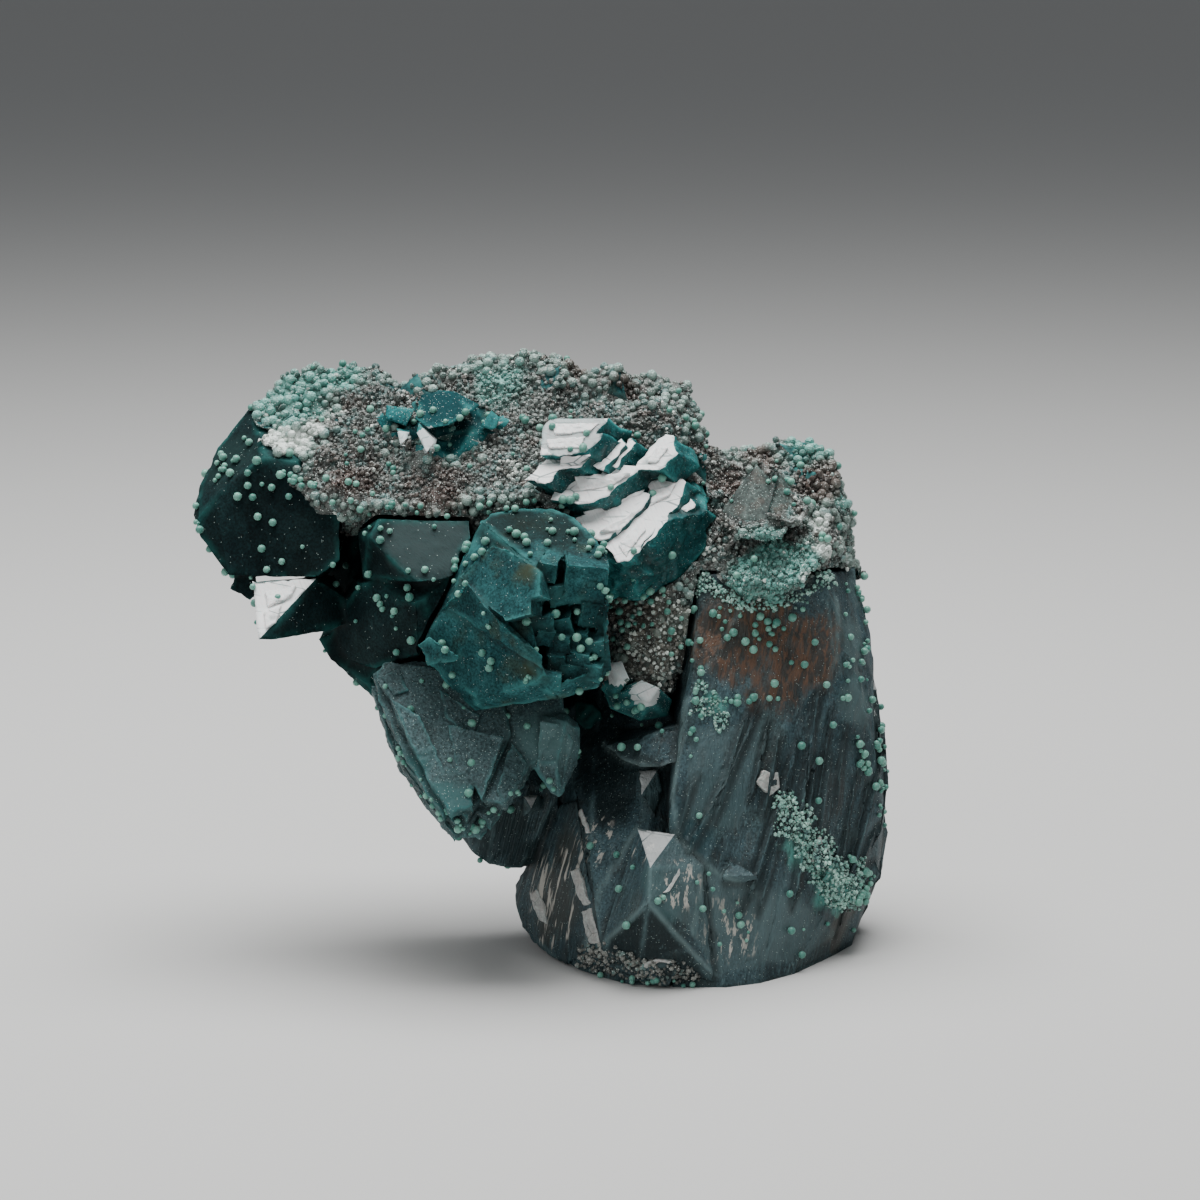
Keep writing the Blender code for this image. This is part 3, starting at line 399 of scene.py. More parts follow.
def drift(points, size, seed):
    """Smooth random values from -1 to 1 in space, one for each point; they change over about this size."""
    dice = np.random.default_rng(seed)
    count = 32
    grid = dice.uniform(-1, 1, (count, count, count))
    cells = points / size
    low = np.floor(cells).astype(int)
    part = cells - low
    part = part * part * (3 - 2 * part)
    total = np.zeros(len(points))
    for corner in np.ndindex(2, 2, 2):
        index = (low + corner) % count
        weight = np.prod(np.where(corner, part, 1 - part), axis=1)
        total += weight * grid[index[:, 0], index[:, 1], index[:, 2]]
    return total


def fade(values, near, far):
    """1 at near, 0 at far, and smooth between them."""
    share = np.clip((values - far) / (near - far), 0, 1)
    return share * share * (3 - 2 * share)


def add(tree, kind, inputs=None, **settings):
    """Adds a node, sets its options, and feeds its inputs with values or with other nodes' outputs."""
    node = tree.nodes.new(kind)
    for name, value in settings.items():
        setattr(node, name, value)
    for name, value in (inputs or {}).items():
        if isinstance(value, bpy.types.NodeSocket):
            tree.links.new(value, node.inputs[name])
        else:
            node.inputs[name].default_value = value
    return node


def group(name, inputs, outputs):
    """An empty shader node group with its named inputs and outputs, and its two end nodes."""
    tree = bpy.data.node_groups.new(name, "ShaderNodeTree")
    for socket, (kind, value) in inputs.items():
        made = tree.interface.new_socket(socket, in_out="INPUT", socket_type="NodeSocket" + kind)
        made.default_value = value
    for socket, kind in outputs.items():
        tree.interface.new_socket(socket, in_out="OUTPUT", socket_type="NodeSocket" + kind)
    return tree, tree.nodes.new("NodeGroupInput").outputs, tree.nodes.new("NodeGroupOutput").inputs


def place_group(tree, made, inputs):
    """Puts a node group into a material with its own values."""
    return add(tree, "ShaderNodeGroup", inputs, node_tree=made).outputs


def mix(tree, share, first, second, blend="MIX"):
    """Two colours mixed by a share."""
    node = tree.nodes.new("ShaderNodeMix")
    node.data_type = "RGBA"
    node.blend_type = blend
    for socket, value in ((node.inputs[0], share), (node.inputs[6], first), (node.inputs[7], second)):
        if isinstance(value, bpy.types.NodeSocket):
            tree.links.new(value, socket)
        elif socket == node.inputs[0]:
            socket.default_value = value
        else:
            socket.default_value = (*value, 1)
    return node.outputs[2]


def sums(tree, operation, first, second, clamp=False):
    """One step of arithmetic on two values."""
    node = tree.nodes.new("ShaderNodeMath")
    node.operation = operation
    node.use_clamp = clamp
    for socket, value in zip(node.inputs, (first, second)):
        if isinstance(value, bpy.types.NodeSocket):
            tree.links.new(value, socket)
        else:
            socket.default_value = value
    return node.outputs[0]


def ramp(tree, value, low, high):
    """0 below low, 1 above high, and smooth between them."""
    node = add(tree, "ShaderNodeMapRange", {"Value": value, "From Min": low, "From Max": high},
               interpolation_type="SMOOTHSTEP")
    return node.outputs["Result"]


def attribute(tree, name):
    return add(tree, "ShaderNodeAttribute", attribute_name=name).outputs["Fac"]


def facet_tone(tree, colour, contrast):
    """Gives each facet its own brightness, and the whole surface a fine grain."""
    tone = sums(tree, "MULTIPLY", attribute(tree, "tone"), contrast)
    tone = sums(tree, "ADD", tone, 1 - 0.5 * contrast)
    spot_on = add(tree, "ShaderNodeTexCoord").outputs["Object"]
    grain = add(tree, "ShaderNodeTexNoise", {"Vector": spot_on, "Scale": 2600.0, "Detail": 2.0,
                                             "Roughness": 0.7}).outputs["Fac"]
    grain = add(tree, "ShaderNodeMapRange", {"Value": grain, "From Min": 0.35, "From Max": 0.68,
                                             "To Min": 0.55, "To Max": 1.65}).outputs["Result"]
    tone = sums(tree, "MULTIPLY", tone, grain)
    shade = add(tree, "ShaderNodeCombineColor", {"Red": tone, "Green": tone, "Blue": tone}).outputs[0]
    return mix(tree, 1.0, colour, shade, "MULTIPLY")


def cloud_group():
    """Slow changes of colour inside a crystal: a deep and a light colour, and a tinge in patches."""
    tree, given, result = group(
        "crystal_clouds",
        {"Deep": ("Color", (0, 0, 0, 1)), "Light": ("Color", (1, 1, 1, 1)), "Tinge": ("Color", (1, 1, 1, 1)),
         "Tinge Amount": ("Float", 0.5), "Size": ("Float", 6.0)},
        {"Color": "Color", "Cloud": "Float"})
    spot_on = add(tree, "ShaderNodeTexCoord").outputs["Object"]
    scale = sums(tree, "DIVIDE", 1000.0, given["Size"])
    broad = add(tree, "ShaderNodeTexNoise", {"Vector": spot_on, "Scale": scale, "Detail": 4.0,
                                             "Roughness": 0.6}).outputs["Fac"]
    cloud = ramp(tree, broad, 0.36, 0.68)
    fine_scale = sums(tree, "MULTIPLY", scale, 6.0)
    fine = add(tree, "ShaderNodeTexNoise", {"Vector": spot_on, "Scale": fine_scale, "Detail": 5.0,
                                            "Roughness": 0.7}).outputs["Fac"]
    both = sums(tree, "ADD", sums(tree, "MULTIPLY", cloud, 0.65), sums(tree, "MULTIPLY", fine, 0.5), True)
    moved = add(tree, "ShaderNodeMapping", {"Vector": spot_on, "Location": (0.31, 0.17, 0.53)}).outputs[0]
    patch = add(tree, "ShaderNodeTexNoise", {"Vector": moved, "Scale": scale, "Detail": 3.0}).outputs["Fac"]
    tinge = sums(tree, "MULTIPLY", ramp(tree, patch, 0.50, 0.66), given["Tinge Amount"])
    colour = mix(tree, tinge, mix(tree, both, given["Deep"], given["Light"]), given["Tinge"])
    tree.links.new(colour, result["Color"])
    tree.links.new(cloud, result["Cloud"])
    return tree


def rim_group():
    """Lighter colour on a crystal's thin outer edges, partly clearer, partly painted highlight; painted shade
    in creases.
    """
    tree, given, result = group(
        "crystal_rims",
        {"Color": ("Color", (0, 0, 0, 1)), "Rim": ("Color", (1, 1, 1, 1)), "Width": ("Float", 1.2),
         "Strength": ("Float", 0.7), "Crease Shade": ("Float", 0.5)},
        {"Color": "Color", "Rim Mask": "Float"})
    spot_on = add(tree, "ShaderNodeTexCoord").outputs["Object"]
    rough = add(tree, "ShaderNodeTexNoise", {"Vector": spot_on, "Scale": 700.0, "Detail": 3.0}).outputs["Fac"]
    # The rim colour is partly a painted highlight along the outer edges
    ridge = sums(tree, "DIVIDE", attribute(tree, "ridge"), given["Width"])
    ridge = sums(tree, "ADD", ridge, sums(tree, "MULTIPLY", rough, 0.9))
    thin = sums(tree, "SUBTRACT", 1.0, ramp(tree, ridge, 0.35, 1.6))
    mask = sums(tree, "MULTIPLY", thin, given["Strength"])
    broad = add(tree, "ShaderNodeTexNoise", {"Vector": spot_on, "Scale": 190.0, "Detail": 3.0}).outputs["Fac"]
    mask = sums(tree, "MULTIPLY", mask, ramp(tree, broad, 0.38, 0.62))
    # Painted shade: the creases turn near-black
    crease = sums(tree, "SUBTRACT", 1.0, ramp(tree, attribute(tree, "crease"), 0.1, 1.1))
    crease_shade = sums(tree, "MULTIPLY", crease, given["Crease Shade"])
    rimmed = mix(tree, mask, given["Color"], given["Rim"])
    tree.links.new(mix(tree, crease_shade, rimmed, (0.012, 0.016, 0.016)), result["Color"])
    tree.links.new(mask, result["Rim Mask"])
    return tree


def dust_group():
    """Tiny pale grains strewn over a face, thicker in some places."""
    tree, given, result = group(
        "pale_dust", {"Amount": ("Float", 0.3), "Size": ("Float", 0.3)}, {"Mask": "Float"})
    spot_on = add(tree, "ShaderNodeTexCoord").outputs["Object"]
    scale = sums(tree, "DIVIDE", 1000.0, given["Size"])
    cells = add(tree, "ShaderNodeTexVoronoi", {"Vector": spot_on, "Scale": scale})
    near = sums(tree, "SUBTRACT", 1.0, ramp(tree, cells.outputs["Distance"], 0.18, 0.42))
    pick = add(tree, "ShaderNodeSeparateColor", {"Color": cells.outputs["Color"]}).outputs[0]
    where = add(tree, "ShaderNodeTexNoise", {"Vector": spot_on, "Scale": 160.0, "Detail": 3.0}).outputs["Fac"]
    chance = sums(tree, "MULTIPLY", sums(tree, "MULTIPLY", where, 2.0), given["Amount"])
    tree.links.new(sums(tree, "MULTIPLY", near, sums(tree, "LESS_THAN", pick, chance)), result["Mask"])
    return tree


def line_group():
    """Fine growth lines that run one way over a crystal: long, thin ripples of unequal height."""
    tree, given, result = group(
        "growth_lines",
        {"Turn": ("Vector", (0, 0, 0)), "Spacing": ("Float", 0.5), "Length": ("Float", 14.0)},
        {"Height": "Float"})
    spot_on = add(tree, "ShaderNodeTexCoord").outputs["Object"]
    turned = add(tree, "ShaderNodeMapping", {"Vector": spot_on, "Rotation": given["Turn"]}).outputs[0]
    across = sums(tree, "DIVIDE", 1000.0, given["Spacing"])
    along = sums(tree, "DIVIDE", across, given["Length"])
    stretch = add(tree, "ShaderNodeCombineXYZ", {"X": across, "Y": across, "Z": along}).outputs[0]
    drawn = add(tree, "ShaderNodeVectorMath", operation="MULTIPLY")
    tree.links.new(turned, drawn.inputs[0])
    tree.links.new(stretch, drawn.inputs[1])
    noise = add(tree, "ShaderNodeTexNoise", {"Vector": drawn.outputs[0], "Scale": 1.0, "Detail": 3.0,
                                             "Roughness": 0.65}).outputs["Fac"]
    tree.links.new(noise, result["Height"])
    return tree


def crack_group():
    """Thin cracks and low steps that run over a face with painted gleam."""
    tree, given, result = group("painted_gleam_cracks", {"Size": ("Float", 4.0)}, {"Mask": "Float", "Step": "Float"})
    spot_on = add(tree, "ShaderNodeTexCoord").outputs["Object"]
    turned = add(tree, "ShaderNodeMapping", {"Vector": spot_on, "Rotation": (0.35, 0.5, 0.7),
                                             "Scale": (0.45, 1.0, 1.3)}).outputs[0]
    scale = sums(tree, "DIVIDE", 1000.0, given["Size"])
    near = add(tree, "ShaderNodeTexVoronoi", {"Vector": turned, "Scale": scale}, feature="DISTANCE_TO_EDGE")
    cells = add(tree, "ShaderNodeTexVoronoi", {"Vector": turned, "Scale": scale})
    some = add(tree, "ShaderNodeTexNoise", {"Vector": spot_on, "Scale": 220.0, "Detail": 2.0}).outputs["Fac"]
    line = sums(tree, "SUBTRACT", 1.0, ramp(tree, near.outputs["Distance"], 0.008, 0.028))
    tree.links.new(sums(tree, "MULTIPLY", line, ramp(tree, some, 0.42, 0.58)), result["Mask"])
    pick = add(tree, "ShaderNodeSeparateColor", {"Color": cells.outputs["Color"]}).outputs[1]
    tree.links.new(pick, result["Step"])
    return tree


def zone_group():
    """A patch of colour round one place, with a broken edge: used for stains, painted shade and painted
    light.
    """
    tree, given, result = group(
        "stain_and_shade_zone",
        {"Centre": ("Vector", (0, 0, 0)), "Radius": ("Float", 10.0), "Soft": ("Float", 3.0),
         "Break": ("Float", 4.0)},
        {"Mask": "Float"})
    spot_on = add(tree, "ShaderNodeTexCoord").outputs["Object"]
    apart = add(tree, "ShaderNodeVectorMath", operation="DISTANCE")
    tree.links.new(spot_on, apart.inputs[0])
    tree.links.new(given["Centre"], apart.inputs[1])
    far = sums(tree, "MULTIPLY", apart.outputs["Value"], 1000.0)
    noise = add(tree, "ShaderNodeTexNoise", {"Vector": spot_on, "Scale": 330.0, "Detail": 5.0,
                                             "Roughness": 0.65}).outputs["Fac"]
    shake = sums(tree, "MULTIPLY", sums(tree, "SUBTRACT", noise, 0.5), given["Break"])
    far = sums(tree, "ADD", far, sums(tree, "MULTIPLY", shake, 2.0))
    inner = sums(tree, "SUBTRACT", given["Radius"], given["Soft"])
    fall = add(tree, "ShaderNodeMapRange", {"Value": far, "From Min": inner, "From Max": given["Radius"],
                                            "To Min": 1.0, "To Max": 0.0}, interpolation_type="SMOOTHSTEP")
    tree.links.new(fall.outputs["Result"], result["Mask"])
    return tree


clouds = cloud_group()
rims = rim_group()
dust = dust_group()
lines = line_group()
zones = zone_group()
cracks = crack_group()

# Painted gleam: near-white painted where faces lie toward the soft box, with duller parts and cracks
painted_gleam = (0.86, 0.87, 0.86)
painted_gleam_dull = (0.40, 0.44, 0.44)
painted_gleam_crack = (0.03, 0.09, 0.09)

# A face begins to get its painted gleam where its shine, which is 1 at best, reaches the first of these, and
# gets it fully at the second
gleam_start = 0.975
gleam_full = 0.992


def add_painted_gleam(tree, colour, amount, dull):
    """Near-white painted gleam on faces toward the soft box: lightly lined, cracked, and here and there
    duller.
    """
    hairs = place_group(tree, lines, {"Turn": (0.9, 0.35, 0.6), "Spacing": 0.30, "Length": 18.0})["Height"]
    broken = place_group(tree, cracks, {"Size": 3.4})
    shade = sums(tree, "MULTIPLY", ramp(tree, hairs, 0.50, 0.72), 0.30)
    shade = sums(tree, "ADD", shade, sums(tree, "MULTIPLY", broken["Step"], dull))
    face = mix(tree, shade, painted_gleam, painted_gleam_dull)
    face = mix(tree, sums(tree, "MULTIPLY", broken["Mask"], 0.75), face, painted_gleam_crack)
    shine = sums(tree, "MULTIPLY", ramp(tree, attribute(tree, "shine"), gleam_start, gleam_full), amount)
    return mix(tree, shine, colour, face), broken["Step"]


# The colours of the standing crystal, and of what stains it
slate_deep = (0.006, 0.020, 0.025)
slate_light = (0.045, 0.084, 0.096)
slate_tinge = (0.034, 0.056, 0.055)
slate_brown = (0.046, 0.043, 0.037)
slate_rim = (0.11, 0.19, 0.20)
slate_painted_light = (0.085, 0.135, 0.140)
slate_painted_shade = (0.002, 0.011, 0.013)
slate_crest_highlight = (0.190, 0.280, 0.280)
pale_grain = (0.50, 0.62, 0.58)
rust = (0.150, 0.078, 0.046)
rust_ground = (0.046, 0.036, 0.028)
turquoise = (0.12, 0.42, 0.36)
slate_fleck = (0.50, 0.48, 0.43)

# The growth lines lean from the upper right to the lower left
streak_turn = (0.0, math.radians(-13), 0.0)

# Stained zones on the standing crystal: pixel of the middle, radius, softness and broken edge in millimetres
rust_zones = [((735, 640), 9.0, 5.0, 5.0), ((800, 650), 9.0, 5.0, 5.0), ((765, 615), 7.0, 4.0, 4.0),
              ((775, 690), 6.0, 5.0, 5.0)]
turquoise_zones = [((800, 850), 4.0, 3.0, 4.0), ((832, 885), 5.0, 3.0, 3.0), ((715, 705), 2.6, 2.0, 3.0),
                   ((845, 900), 3.5, 2.0, 3.0)]

# Where long pale flecks show, and patches of other tones on the standing crystal, laid out in the same way.
# The near-black patches are painted shade: in the recess beside the fan crystal, below its tips and at the
# foot.
fleck_zones = [((556, 895), 8.0, 1.0, 1.0), ((548, 915), 6.0, 1.0, 1.0), ((590, 840), 5.0, 2.0, 2.0),
               ((680, 885), 5.0, 2.0, 2.0), ((730, 930), 6.0, 3.0, 3.0), ((640, 850), 3.0, 1.0, 1.0)]
slate_patches = [
    ([((650, 938), 5.5, 2.0, 1.5), ((625, 948), 4.0, 2.0, 1.5)], (0.001, 0.009, 0.011)),
    ([((735, 905), 8.0, 5.0, 3.0), ((780, 920), 8.0, 5.0, 4.0), ((700, 880), 5.0, 3.0, 2.0)],
     (0.080, 0.130, 0.140)),
    ([((556, 900), 7.0, 4.0, 4.0), ((565, 850), 5.0, 3.0, 4.0), ((545, 930), 4.0, 3.0, 3.0)],
     (0.036, 0.042, 0.038)),
    ([((600, 770), 6.0, 3.0, 3.0), ((610, 810), 5.0, 3.0, 3.0), ((600, 730), 6.0, 3.0, 3.0)],
     (0.002, 0.009, 0.011)),
    ([((500, 835), 6.5, 3.0, 3.0), ((480, 850), 5.0, 3.0, 3.0), ((520, 860), 5.0, 3.0, 3.0)],
     (0.002, 0.013, 0.015)),
    ([((855, 640), 5.5, 3.0, 3.0), ((860, 700), 5.5, 3.0, 3.0), ((862, 590), 4.0, 3.0, 3.0)],
     (0.075, 0.125, 0.130)),
    ([((842, 930), 4.5, 2.0, 3.0), ((850, 915), 3.5, 2.0, 3.0)], (0.080, 0.078, 0.068)),
    ([((690, 830), 6.0, 4.0, 3.0), ((720, 800), 6.0, 4.0, 4.0)], (0.012, 0.050, 0.060)),
    ([((652, 880), 3.5, 2.0, 1.5), ((668, 905), 3.5, 2.0, 1.5)], (0.040, 0.095, 0.100))]


def zone_mask(tree, places):
    """The joined mask of several zones."""
    total = 0.0
    for pixel, radius, soft, broken in places:
        outputs = place_group(tree, zones, {"Centre": spot(pixel)[0], "Radius": radius, "Soft": soft,
                                            "Break": broken})
        total = sums(tree, "MAXIMUM", outputs["Mask"], total)
    return total


def slate_material():
    """Slate-blue crystal: banded and lined down its length, stained in zones, with painted light and shade on
    some faces, a painted highlight along its crests, and painted gleam.
    """
    material = bpy.data.materials.new("slate_crystal")
    material.use_nodes = True
    tree = material.node_tree
    shader = tree.nodes["Principled BSDF"]
    cloud = place_group(tree, clouds, {"Deep": (*slate_deep, 1), "Light": (*slate_light, 1),
                                       "Tinge": (*slate_tinge, 1), "Tinge Amount": 0.6, "Size": 8.0})
    bands = place_group(tree, lines, {"Turn": streak_turn, "Spacing": 2.6, "Length": 9.0})["Height"]
    streaks = place_group(tree, lines, {"Turn": streak_turn, "Spacing": 0.9, "Length": 16.0})["Height"]
    hairs = place_group(tree, lines, {"Turn": streak_turn, "Spacing": 0.35, "Length": 22.0})["Height"]
    colour = mix(tree, sums(tree, "MULTIPLY", ramp(tree, bands, 0.50, 0.68), 0.4), cloud["Color"],
                 slate_brown)
    colour = facet_tone(tree, colour, contrast=0.7)
    colour = mix(tree, sums(tree, "MULTIPLY", ramp(tree, streaks, 0.47, 0.68), 0.6), colour, slate_light)
    colour = mix(tree, sums(tree, "MULTIPLY", ramp(tree, hairs, 0.56, 0.72), 0.5), colour, slate_rim)
    # Patches of other tones; the near-black ones are painted shade
    for places, patch in slate_patches:
        colour = mix(tree, sums(tree, "MULTIPLY", zone_mask(tree, places), 0.8), colour, patch)
    # Painted light on the light faces, painted shade on the dark faces, and a painted highlight along the
    # crests
    colour = mix(tree, sums(tree, "MULTIPLY", attribute(tree, "light"), 0.45), colour, slate_painted_light)
    colour = mix(tree, sums(tree, "MULTIPLY", attribute(tree, "dark"), 0.80), colour, slate_painted_shade)
    colour = mix(tree, sums(tree, "MULTIPLY", attribute(tree, "crest_highlight"), 0.45), colour, slate_crest_highlight)
    colour = mix(tree, sums(tree, "MULTIPLY", ramp(tree, hairs, 0.56, 0.72), 0.30), colour, slate_rim)
    long_flecks = place_group(tree, lines, {"Turn": streak_turn, "Spacing": 1.0, "Length": 11.0})["Height"]
    flecks = sums(tree, "MULTIPLY", ramp(tree, long_flecks, 0.55, 0.61), zone_mask(tree, fleck_zones))
    colour = mix(tree, sums(tree, "MULTIPLY", flecks, 0.9), colour, slate_fleck)
    rusted = zone_mask(tree, rust_zones)
    colour = mix(tree, sums(tree, "MULTIPLY", rusted, 0.75), colour, rust_ground)
    rusted = sums(tree, "MULTIPLY", rusted, ramp(tree, streaks, 0.42, 0.60))
    colour = mix(tree, sums(tree, "MULTIPLY", rusted, 0.75), colour, rust)
    colour = mix(tree, sums(tree, "MULTIPLY", zone_mask(tree, turquoise_zones), 0.6), colour, turquoise)
    rimmed = place_group(tree, rims, {"Color": colour, "Rim": (*slate_rim, 1), "Width": 0.7,
                                      "Strength": 0.5, "Crease Shade": 0.6})
    specks = place_group(tree, dust, {"Amount": 0.05, "Size": 0.19})["Mask"]
    colour = mix(tree, specks, rimmed["Color"], pale_grain)
    # Painted gleam: near-white where faces lie toward the soft box
    colour, _ = add_painted_gleam(tree, colour, amount=0.62, dull=0.35)
    tree.links.new(colour, shader.inputs["Base Color"])
    rough = sums(tree, "ADD", 0.38, sums(tree, "MULTIPLY", streaks, 0.34))
    tree.links.new(rough, shader.inputs["Roughness"])
    height = sums(tree, "ADD", hairs, sums(tree, "MULTIPLY", streaks, 1.8))
    height = sums(tree, "ADD", height, sums(tree, "MULTIPLY", specks, 0.8))
    bump = add(tree, "ShaderNodeBump", {"Height": height, "Strength": 0.7, "Distance": 0.3 * mm})
    tree.links.new(bump.outputs["Normal"], shader.inputs["Normal"])
    shader.inputs["Specular IOR Level"].default_value = 0.32
    return material


slate = slate_material()

# Faces and crests of the small crystals on the standing crystal's front, drawn over the photograph. The dark
# faces get painted shade, the light faces painted light, and the crests a painted highlight.
painted_shade_faces = [[(648, 905), (602, 946), (640, 957), (688, 949)],
              [(606, 745), (622, 762), (660, 770), (674, 764)],
              [(688, 952), (650, 962), (660, 980), (712, 976)],
              [(585, 700), (640, 740), (636, 800), (600, 830)]]
painted_light_faces = [[(676, 836), (706, 866), (692, 930), (652, 902), (651, 870)],
               [(692, 934), (716, 974), (800, 958), (838, 934), (800, 900), (708, 868)],
               [(640, 772), (660, 772), (668, 800), (640, 826)],
               [(690, 730), (770, 720), (740, 830), (684, 820)]]
front_crests = [[(600, 946), (648, 903), (690, 950), (716, 976)], [(650, 868), (649, 903)],
                [(675, 834), (706, 866), (760, 896)], [(637, 828), (600, 890), (585, 948)],
                [(835, 560), (838, 620), (836, 662)], [(686, 700), (672, 800), (678, 832)],
                [(706, 866), (692, 934)], [(604, 745), (622, 761), (660, 769), (677, 762)]]

# Within this outline the faces are plainer than on the rest of the standing crystal
front_crystal = [(637, 826), (676, 832), (708, 866), (694, 930), (718, 978), (600, 972), (584, 948),
                 (600, 890)]

# The growth lines, the lumps under the crust and the nibbled edges are given in millimetres
standing = skin_of("standing_crystal", size=1.2 * mm, seed=3)
points = points_of(standing)
normals = normals_of(standing)
ridge = value_of(standing, "ridge")
from_middle = points - np.array(column_middle)
angle = np.arctan2(from_middle[:, 1], from_middle[:, 0])
lean = np.clip((angle - blade_start) * 0.6, 0.0, 1.0) * 0.45 + 0.05
along_line = np.stack([angle * column_radius - lean * points[:, 2], points[:, 2] / 14, angle * 0], axis=1)
lines_height = 0.16 * drift(along_line, 0.9 * mm, 1) + 0.22 * drift(along_line, 2.2 * mm, 2)
upper = fade(points[:, 2], 46 * mm, 34 * mm)
lumps = 0.35 * drift(points, 1.6 * mm, 4) + 0.5 * drift(points, 3.5 * mm, 5)
nibbles = np.maximum(drift(points, 1.1 * mm, 6), 0) * fade(ridge, 0.0, 0.9) * 0.5
height = lines_height * (1 - 0.6 * upper) + lumps * (0.15 + 0.6 * upper) - 0.2 - nibbles
plain = inside(points, front_crystal) & (points[:, 1] < column_middle.y) & (normals[:, 1] < 0.1)
height = np.where(plain, 0.35 * height - 0.1, height)
on_foot = points[:, 2] < 0.02 * mm
height[on_foot] = 0
points = points + normals * height[:, None] * mm
put_points(standing, points, "standing_crystal")
in_front = (points[:, 1] < column_middle.y) & (normals[:, 1] < 0.1)
# Where painted shade, painted light and the painted crest highlight go
store(standing, "dark", inside_any(points, painted_shade_faces) & in_front)
store(standing, "light", inside_any(points, painted_light_faces) & in_front)
store(standing, "crest_highlight", fade(from_lines(points, front_crests), 0.0, 4.5) * in_front)
standing.data.materials.append(slate)
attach(standing, "root")
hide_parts("standing_crystal")

# Stepped crystal
# A teal crystal that has grown in level terraces. The terraces gleam, their gleam painted near-white, with
# nibbled outlines, and the risers between them are clear teal.


def crystal_material(name, deep, light, rim, tinge, tinge_amount, rim_width, rim_strength, line_turn,
                     line_strength, speck_amount, roughness, painted_gleam_amount, cloud_size, contrast=0.5, gloss=0.18,
                     patches=()):
    """Clear to cloudy teal crystal: lighter along thin edges, lined, dusted, and painted near-white where it
    gleams.
    """
    material = bpy.data.materials.new(name)
    material.use_nodes = True
    tree = material.node_tree
    shader = tree.nodes["Principled BSDF"]
    cloud = place_group(tree, clouds, {"Deep": (*deep, 1), "Light": (*light, 1), "Tinge": (*tinge, 1),
                                       "Tinge Amount": tinge_amount, "Size": cloud_size})
    hairs = place_group(tree, lines, {"Turn": line_turn, "Spacing": 0.45, "Length": 12.0})["Height"]
    colour = facet_tone(tree, cloud["Color"], contrast)
    for places, patch in patches:
        colour = mix(tree, sums(tree, "MULTIPLY", zone_mask(tree, places), 0.8), colour, patch)
    colour = mix(tree, sums(tree, "MULTIPLY", ramp(tree, hairs, 0.55, 0.75), line_strength), colour, light)
    rimmed = place_group(tree, rims, {"Color": colour, "Rim": (*rim, 1), "Width": rim_width,
                                      "Strength": rim_strength, "Crease Shade": 0.45})
    specks = place_group(tree, dust, {"Amount": speck_amount, "Size": 0.19})["Mask"]
    colour = mix(tree, specks, rimmed["Color"], pale_grain)
    # Painted gleam: near-white where faces lie toward the soft box
    colour, low_steps = add_painted_gleam(tree, colour, amount=painted_gleam_amount, dull=0.22)
    tree.links.new(colour, shader.inputs["Base Color"])
    rough = sums(tree, "ADD", roughness, sums(tree, "MULTIPLY", hairs, 0.22))
    tree.links.new(rough, shader.inputs["Roughness"])
    height = sums(tree, "ADD", sums(tree, "ADD", hairs, specks), sums(tree, "MULTIPLY", low_steps, 0.5))
    bump = add(tree, "ShaderNodeBump", {"Height": height, "Strength": 0.4, "Distance": 0.18 * mm})
    tree.links.new(bump.outputs["Normal"], shader.inputs["Normal"])
    shader.inputs["Specular IOR Level"].default_value = gloss
    shader.inputs["Subsurface Weight"].default_value = 0.12
    shader.inputs["Subsurface Radius"].default_value = (0.3, 1.0, 0.95)
    shader.inputs["Subsurface Scale"].default_value = 1.2 * mm
    return material


stepped_teal = crystal_material(
    "stepped_teal", deep=(0.003, 0.030, 0.034), light=(0.020, 0.122, 0.122),
    rim=(0.042, 0.280, 0.270), tinge=(0.016, 0.046, 0.042),
    tinge_amount=0.4, rim_width=0.9, rim_strength=0.65, line_turn=(0.3, 0.9, 0.0), line_strength=0.5,
    speck_amount=0.07, roughness=0.24, painted_gleam_amount=1.0, cloud_size=5.0)


def wander(points, size, seed):
    """A smooth random vector for each point."""
    return np.stack([drift(points, size, seed + axis) for axis in range(3)], axis=1)


def within(shifts, direction):
    """The part of each shift that lies in the plane across the direction."""
    direction = np.array(direction)
    return shifts - (shifts @ direction)[:, None] * direction


stepped = skin_of("stepped_crystal", size=0.7 * mm, seed=4)

# One terrace gleams less than the rest in the photograph
dull_face = spot((572, 434))[0]
dull_reach = 5.5 * mm
dull_shine = 0.9828
shine = stepped.data.attributes["shine"].data
for face in stepped.data.polygons:
    if (face.center - dull_face).length < dull_reach:
        shine[face.index].value = min(shine[face.index].value, dull_shine)

# The outlines of the terraces are nibbled, by this many millimetres, and the terraces stay level
points = points_of(stepped)
shifts = 0.45 * wander(points, 2.2 * mm, 20) + 0.30 * wander(points, 0.9 * mm, 30)
points = points + within(shifts, gleam) * mm
put_points(stepped, points, "stepped_crystal")
stepped.data.materials.append(stepped_teal)
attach(stepped, "root")
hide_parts("stepped_crystal")

# Pitted crystal
# The large blocky crystal in the middle: cloudy teal with light edges and an olive tinge, and a pit on its
# right that is full of small blocks.

